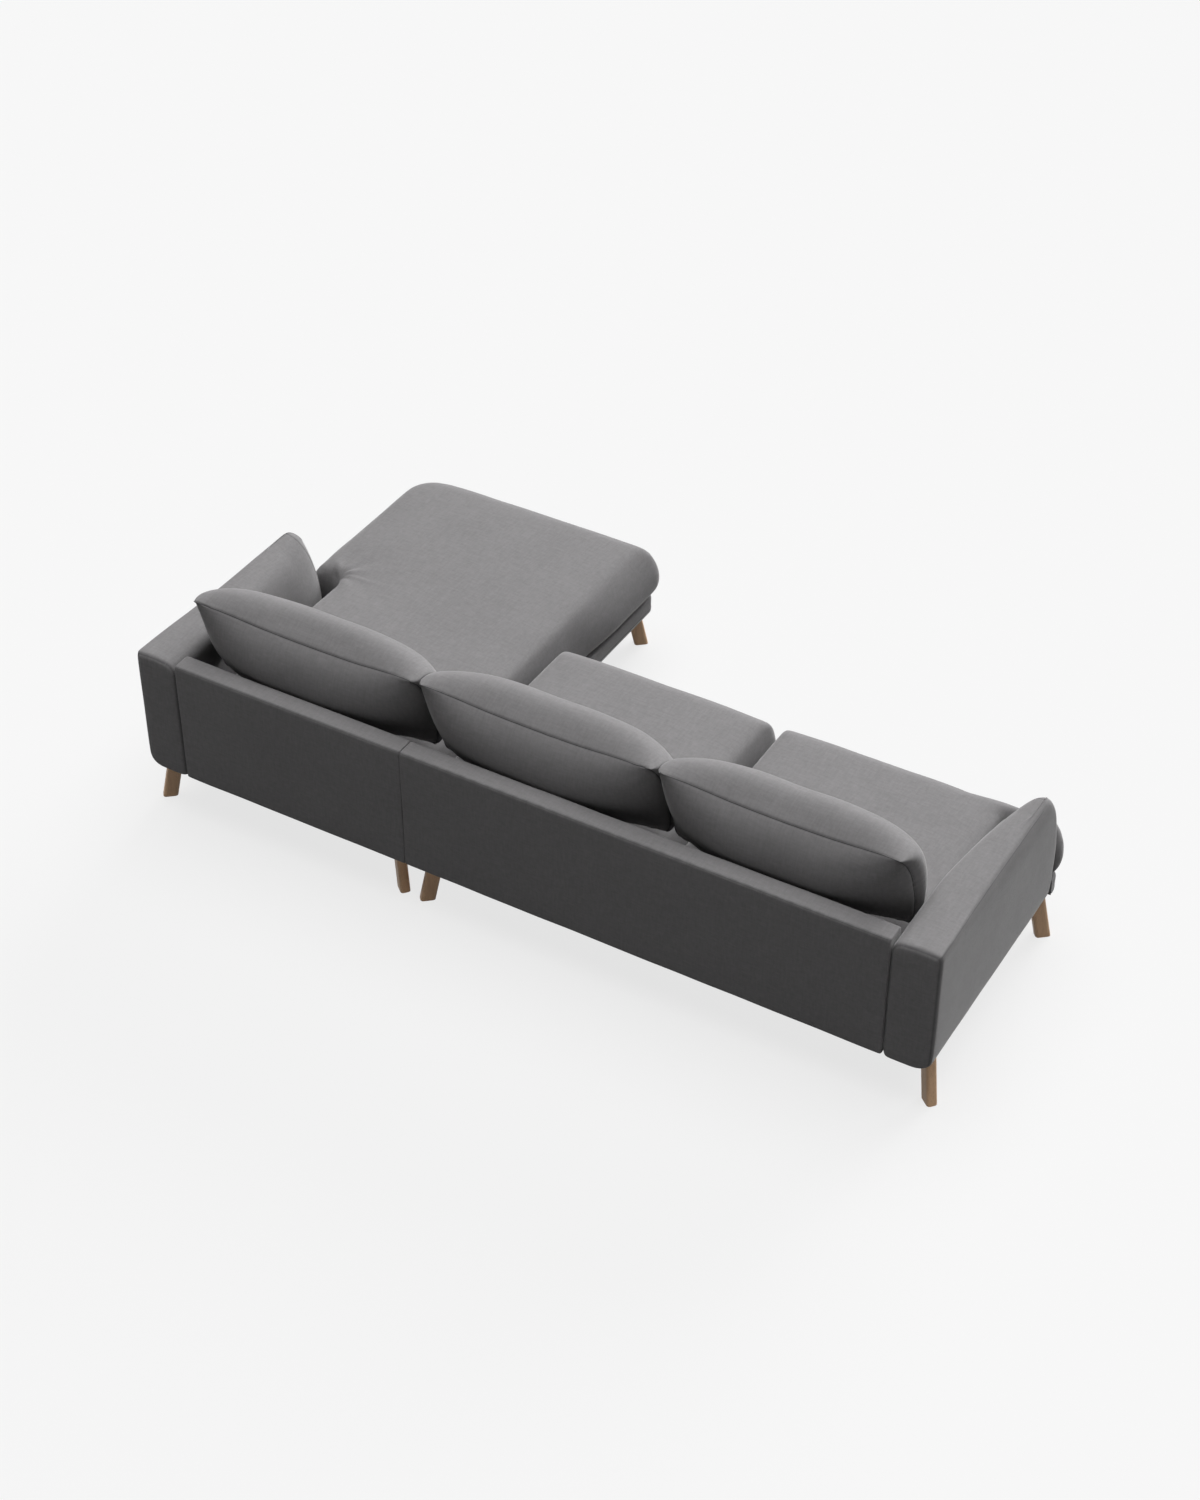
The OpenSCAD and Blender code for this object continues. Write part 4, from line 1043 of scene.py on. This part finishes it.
# Places and pulls are measured from the middle of the bottom seam
PILLOW_CORNER = Vector((0, 0.116, 0.342))
PILLOW_MIDDLE = Vector((0, 0.083, 0.286))
FRONT_PULLS = Vector((0, -0.200, 0.155)), Vector((0, -0.184, 0.058))
BACK_PULLS = Vector((0, 0.125, -0.081)), Vector((0, 0.120, 0.020))
SIDE_BOW, CORNER_ROUND = 0.030, 0.016
PILLOW_WAIST, PILLOW_FOOT = 0.002, 0.004
FRONT_END, BACK_END, BACK_END_RISE = 3.6, 2.4, 1.6
FRONT_SIDE_PULL, BACK_SIDE_PULL = 0.120, -0.015
PILLOW_SHORT = {"chaise": 0.0, "middle": 0.0, "end": 0.020}
PILLOW_TOUCH, PILLOW_OVERHANG, PILLOW_OVER = 0.0007, 0.006, 0.003
PILLOW_BACK_CLEAR, PILLOW_SEAT_CLEAR = 0.0006, 0.0008
PILLOW_SEAT_Y = 0.150
PILLOW_PAD, PILLOW_SWELL = 0.036, 0.085
PUCKER, PUCKER_REACH, PUCKER_PITCH = 0.0020, 0.026, 0.018
SEAM_DEPTH, SEAM_WIDTH = 0.0018, 0.0045
PILLOW_WAVES, PILLOW_WAVE = 0.004, 0.16
PILLOW_PRESSURE, PILLOW_CAP, PILLOW_INWARD = 12.0, 0.004, 0.0
PILLOW_ACROSS, PILLOW_UP = 72, 46
FILLING_ACROSS, FILLING_UP = 24, 16


class Pillow:
    """Place and width of a back cushion."""

    def __init__(self, name, seat):
        low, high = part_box(name + "_back_cushion")
        self.name = name
        self.seat = seat
        self.low_x, self.high_x = low.x - PILLOW_TOUCH, high.x + PILLOW_TOUCH
        seam_x = self.low_x + PILLOW_SHORT[name]
        self.width = self.high_x - seam_x
        self.place = Vector((seam_x + self.width / 2, PANEL_Y - PILLOW_SEAT_Y, low.z + PILLOW_FOOT))


def bow(start, start_pull, end, end_pull, t):
    """A point of an even curve between two ends, each with the pull that it leaves by."""
    s = 1 - t
    near = start * s ** 3 + (start + start_pull) * 3 * s * s * t
    return near + (end + end_pull) * 3 * s * t * t + end * t ** 3


def pillow_point(pillow, u, v, face, inset):
    """A point of a back cushion: u across it, v up it, face 1 on its front and -1 behind."""
    up = (v + 1) / 2
    kept = 1 - 2 * inset / PILLOW_MIDDLE.length
    chord = PILLOW_CORNER.lerp(PILLOW_MIDDLE, 1 - u * u) * (0.5 + kept * (up - 0.5))
    top_pull, foot_pull = FRONT_PULLS if face > 0 else BACK_PULLS
    end, side_pull = (FRONT_END, FRONT_SIDE_PULL) if face > 0 else (
        BACK_END + BACK_END_RISE * v, BACK_SIDE_PULL)
    swell = bow(PILLOW_MIDDLE, top_pull, Vector(), foot_pull, 1 - up) - PILLOW_MIDDLE * up
    less = 1 - inset / PILLOW_SWELL
    full = math.sqrt(max(0.0, 1 - abs(u) ** end)) * less
    waist = PILLOW_WAIST * (1 - v * v) * abs(u) ** 3
    round_end = side_pull * less * u ** 7 * math.sqrt(max(0.0, (1 - u * u) * (1 - v ** 4)))
    side = Vector((u * (pillow.width / 2 - inset - waist) + round_end, 0, 0))
    bow_way = Vector((0, -SIDE_BOW * (1 - v * v) * u ** 4, 0))
    blunt = CORNER_ROUND * (u * v) ** 4
    corner_way = Vector((-math.copysign(blunt, u), 0, -math.copysign(blunt, v)))
    point = side + chord + bow_way + corner_way + swell * full
    point.z = max(point.z, inset - PILLOW_FOOT)
    return pillow.place + point


def pillow_mesh(pillow, inset, across, up):
    """Front and back of a back cushion, joined along the seam."""
    bm = bmesh.new()
    turn = math.pi / 2
    for face in (1, -1):
        made = bmesh.ops.create_grid(bm, x_segments=across, y_segments=up, size=1)
        for vertex in made["verts"]:
            u, v = math.sin(turn * vertex.co.x), math.sin(turn * vertex.co.y)
            vertex.co = pillow_point(pillow, u, v, face, inset)
    return bm


def seam_loop(mesh):
    """Numbers of the points along the seam of a back cushion, in order."""
    seam_shade_mask = mesh.attributes["seam"].data
    ahead = {}
    for edge in mesh.edges:
        a, b = edge.vertices
        if seam_shade_mask[a].value > 0.95 and seam_shade_mask[b].value > 0.95:
            ahead.setdefault(a, []).append(b)
            ahead.setdefault(b, []).append(a)
    start = min(ahead)
    loop, before = [start], None
    while True:
        near = [p for p in ahead[loop[-1]] if p != before]
        before = loop[-1]
        if not near or near[0] == start:
            return loop
        loop.append(near[0])


def seat_surface(seat, point):
    """Height of the seat cushion under a point of a back cushion."""
    x = seat.across(point)
    edge = min(SEAT_BACK_Y - point.y, x - seat.x0, seat.x1 - x)
    share = math.sqrt(max(0.0, 1 - (1 - min(1.0, max(0.0, edge) / SEAT_SIDE_ROLL)) ** 2))
    return SEAT_Z + SEAT_BELLY + (SEAT_H - SEAT_BELLY) * share + seat_top(seat, x, point.y, share)


def make_pillow(pillow):
    """A back cushion with its knife edge, resting on its seat and against the panel."""
    bm = pillow_mesh(pillow, 0.0, PILLOW_ACROSS, PILLOW_UP)
    layer = bm.verts.layers.float.new("seam")
    for vertex in bm.verts:
        vertex[layer] = 1.0 if vertex.is_boundary else 0.0
    close(bm)
    body = pillow.name + "_back"
    name = pillow.name + "_back_cushion_cover"
    piece = make_piece(name, bm, "cloth", "pillow_fabric", body, pillow.name + "_back_cushion")
    seed = len(pillow.name)
    ripple(piece, PILLOW_WAVES, PILLOW_WAVE, seed)
    simulate(piece, PILLOW_PRESSURE, PILLOW_CAP, PILLOW_INWARD)
    subdivide(piece)
    loop = seam_loop(piece.data)
    tree = finder([piece.data.vertices[i].co.copy() for i in loop])

    def tucked(point, normal):
        nearest, _, far = tree.find(point)
        pucker = PUCKER * math.exp(-far / PUCKER_REACH) * unevenness(nearest, PUCKER_PITCH, seed)
        groove = SEAM_DEPTH * math.exp(-((far / SEAM_WIDTH) ** 2))
        return point + normal * (pucker - groove)

    move_points(piece, tucked)

    def rested(point, normal):
        x = min(max(point.x, pillow.low_x), pillow.high_x)
        over = min(PILLOW_OVERHANG, max(0.0, point.z - PANEL_TOP - PILLOW_OVER))
        y = min(point.y, PANEL_Y - PILLOW_BACK_CLEAR + over)
        return Vector((x, y, max(point.z, seat_surface(pillow.seat, point) + PILLOW_SEAT_CLEAR)))

    move_points(piece, rested)
    # The seam mark now fades out from the seam; the cloth finish darkens by it, as painted shade in the
    # groove
    for i, seam_shade_mask in enumerate(piece.data.attributes["seam"].data):
        seam_shade_mask.value = math.exp(-((tree.find(piece.data.vertices[i].co)[2] / SEAM_WIDTH) ** 2))
    seam_at = [piece.data.vertices[i].co.copy() for i in loop]
    add_seam(name + "_seam", seam_at, piece, "pillow_fabric", body, looped=True)


def make_filling(pillow):
    """Loose fibre inside a back cushion."""
    bm = pillow_mesh(pillow, PILLOW_PAD, FILLING_ACROSS, FILLING_UP)
    close(bm)
    name = pillow.name + "_fibre_filling"
    piece = make_piece(name, bm, "fibre", "fibre_filling", pillow.name + "_back",
                       pillow.name + "_back_filling")


# Floor and light

FLOOR_HALF, FLOOR_SHADE, BACKGROUND, FILL = 40, 0.15, 0.93, 0.008
KEY_WAY = Vector((-0.08, -1.02, 0.30))
OVERHEAD_SHARE = 0.86
# Direction, share of the light and softness in degrees of each lamp
LAMPS = {
    "key": (KEY_WAY, KEY_WAY.length, 40),
    "overhead": ((0.0, -0.10, 1), OVERHEAD_SHARE, 64),
    "back": ((-0.3, 1.0, 0.1), 0.062, 60),
}
# What the floor gives off itself, so that it is as pale as the background where no shadow falls
FLOOR_GLOW = BACKGROUND - FLOOR_SHADE * (FILL + OVERHEAD_SHARE + KEY_WAY.length * KEY_WAY.normalized().z)


def seen_directly(tree):
    """1 for what the camera, a gloss or a glass sees, 0 for light on the object."""
    rays = tree.nodes.new("ShaderNodeLightPath")
    share = maths(tree, "MAXIMUM", rays.outputs["Is Camera Ray"], rays.outputs["Is Glossy Ray"])
    return maths(tree, "MAXIMUM", share, rays.outputs["Is Transmission Ray"])


def make_floor():
    """A pale floor that keeps the sofa's shadow."""
    material = bpy.data.materials.new("pale floor")
    material.use_nodes = True
    tree = material.node_tree
    tree.nodes.clear()
    out = tree.nodes.new("ShaderNodeOutputMaterial")
    matt = tree.nodes.new("ShaderNodeBsdfDiffuse")
    matt.inputs["Color"].default_value = (FLOOR_SHADE, FLOOR_SHADE, FLOOR_SHADE, 1)
    glow = tree.nodes.new("ShaderNodeEmission")
    tree.links.new(times(tree, seen_directly(tree), FLOOR_GLOW), glow.inputs["Strength"])
    both = tree.nodes.new("ShaderNodeAddShader")
    tree.links.new(matt.outputs[0], both.inputs[0])
    tree.links.new(glow.outputs[0], both.inputs[1])
    tree.links.new(both.outputs[0], out.inputs["Surface"])
    bm = bmesh.new()
    bmesh.ops.create_grid(bm, x_segments=1, y_segments=1, size=FLOOR_HALF)
    mesh = bpy.data.meshes.new("floor")
    bm.to_mesh(mesh)
    bm.free()
    mesh.materials.append(material)
    new_object("floor", mesh)


def make_sky():
    """A pale background with little light of its own."""
    world = bpy.data.worlds.new("sky")
    bpy.context.scene.world = world
    world.use_nodes = True
    tree = world.node_tree
    ground = tree.nodes["Background"]
    share = seen_directly(tree)
    strength = plus(tree, FILL, times(tree, share, BACKGROUND - FILL))
    ground.inputs["Color"].default_value = (1, 1, 1, 1)
    tree.links.new(strength, ground.inputs["Strength"])


def make_sun(name, way, share, softness):
    """A lamp from a direction. A share of 1 lights a face turned to it as it is written."""
    lamp = bpy.data.lights.new(name, "SUN")
    lamp.energy = share * math.pi
    lamp.angle = math.radians(softness)
    sun = new_object(name, lamp)
    sun.rotation_euler = Vector(way).to_track_quat("Z", "Y").to_euler()


# The whole sofa

set_camera()
finish_nodes()
seats = {
    "chaise": Seat("chaise", CHAISE, GAP / 2, CHAISE.arm_x - GAP),
    "middle": Seat("middle", SETTEE, GAP / 2, SEAM_X - GAP / 2),
    "end": Seat("end", SETTEE, SEAM_X + GAP / 2, SETTEE.arm_x - GAP),
}
for module in (CHAISE, SETTEE):
    make_base(module)
    make_dust_cover(module)
    make_panel(module)
    make_arm(module)
    make_arm_underside(module)
for name, seat in seats.items():
    make_seat(seat)
    make_foam(seat)
    pillow = Pillow(name, seat)
    make_pillow(pillow)
    make_filling(pillow)
make_floor()
make_sky()
for name, (way, share, softness) in LAMPS.items():
    make_sun(name, way, share, softness)
bpy.context.scene.view_settings.view_transform = "Standard"
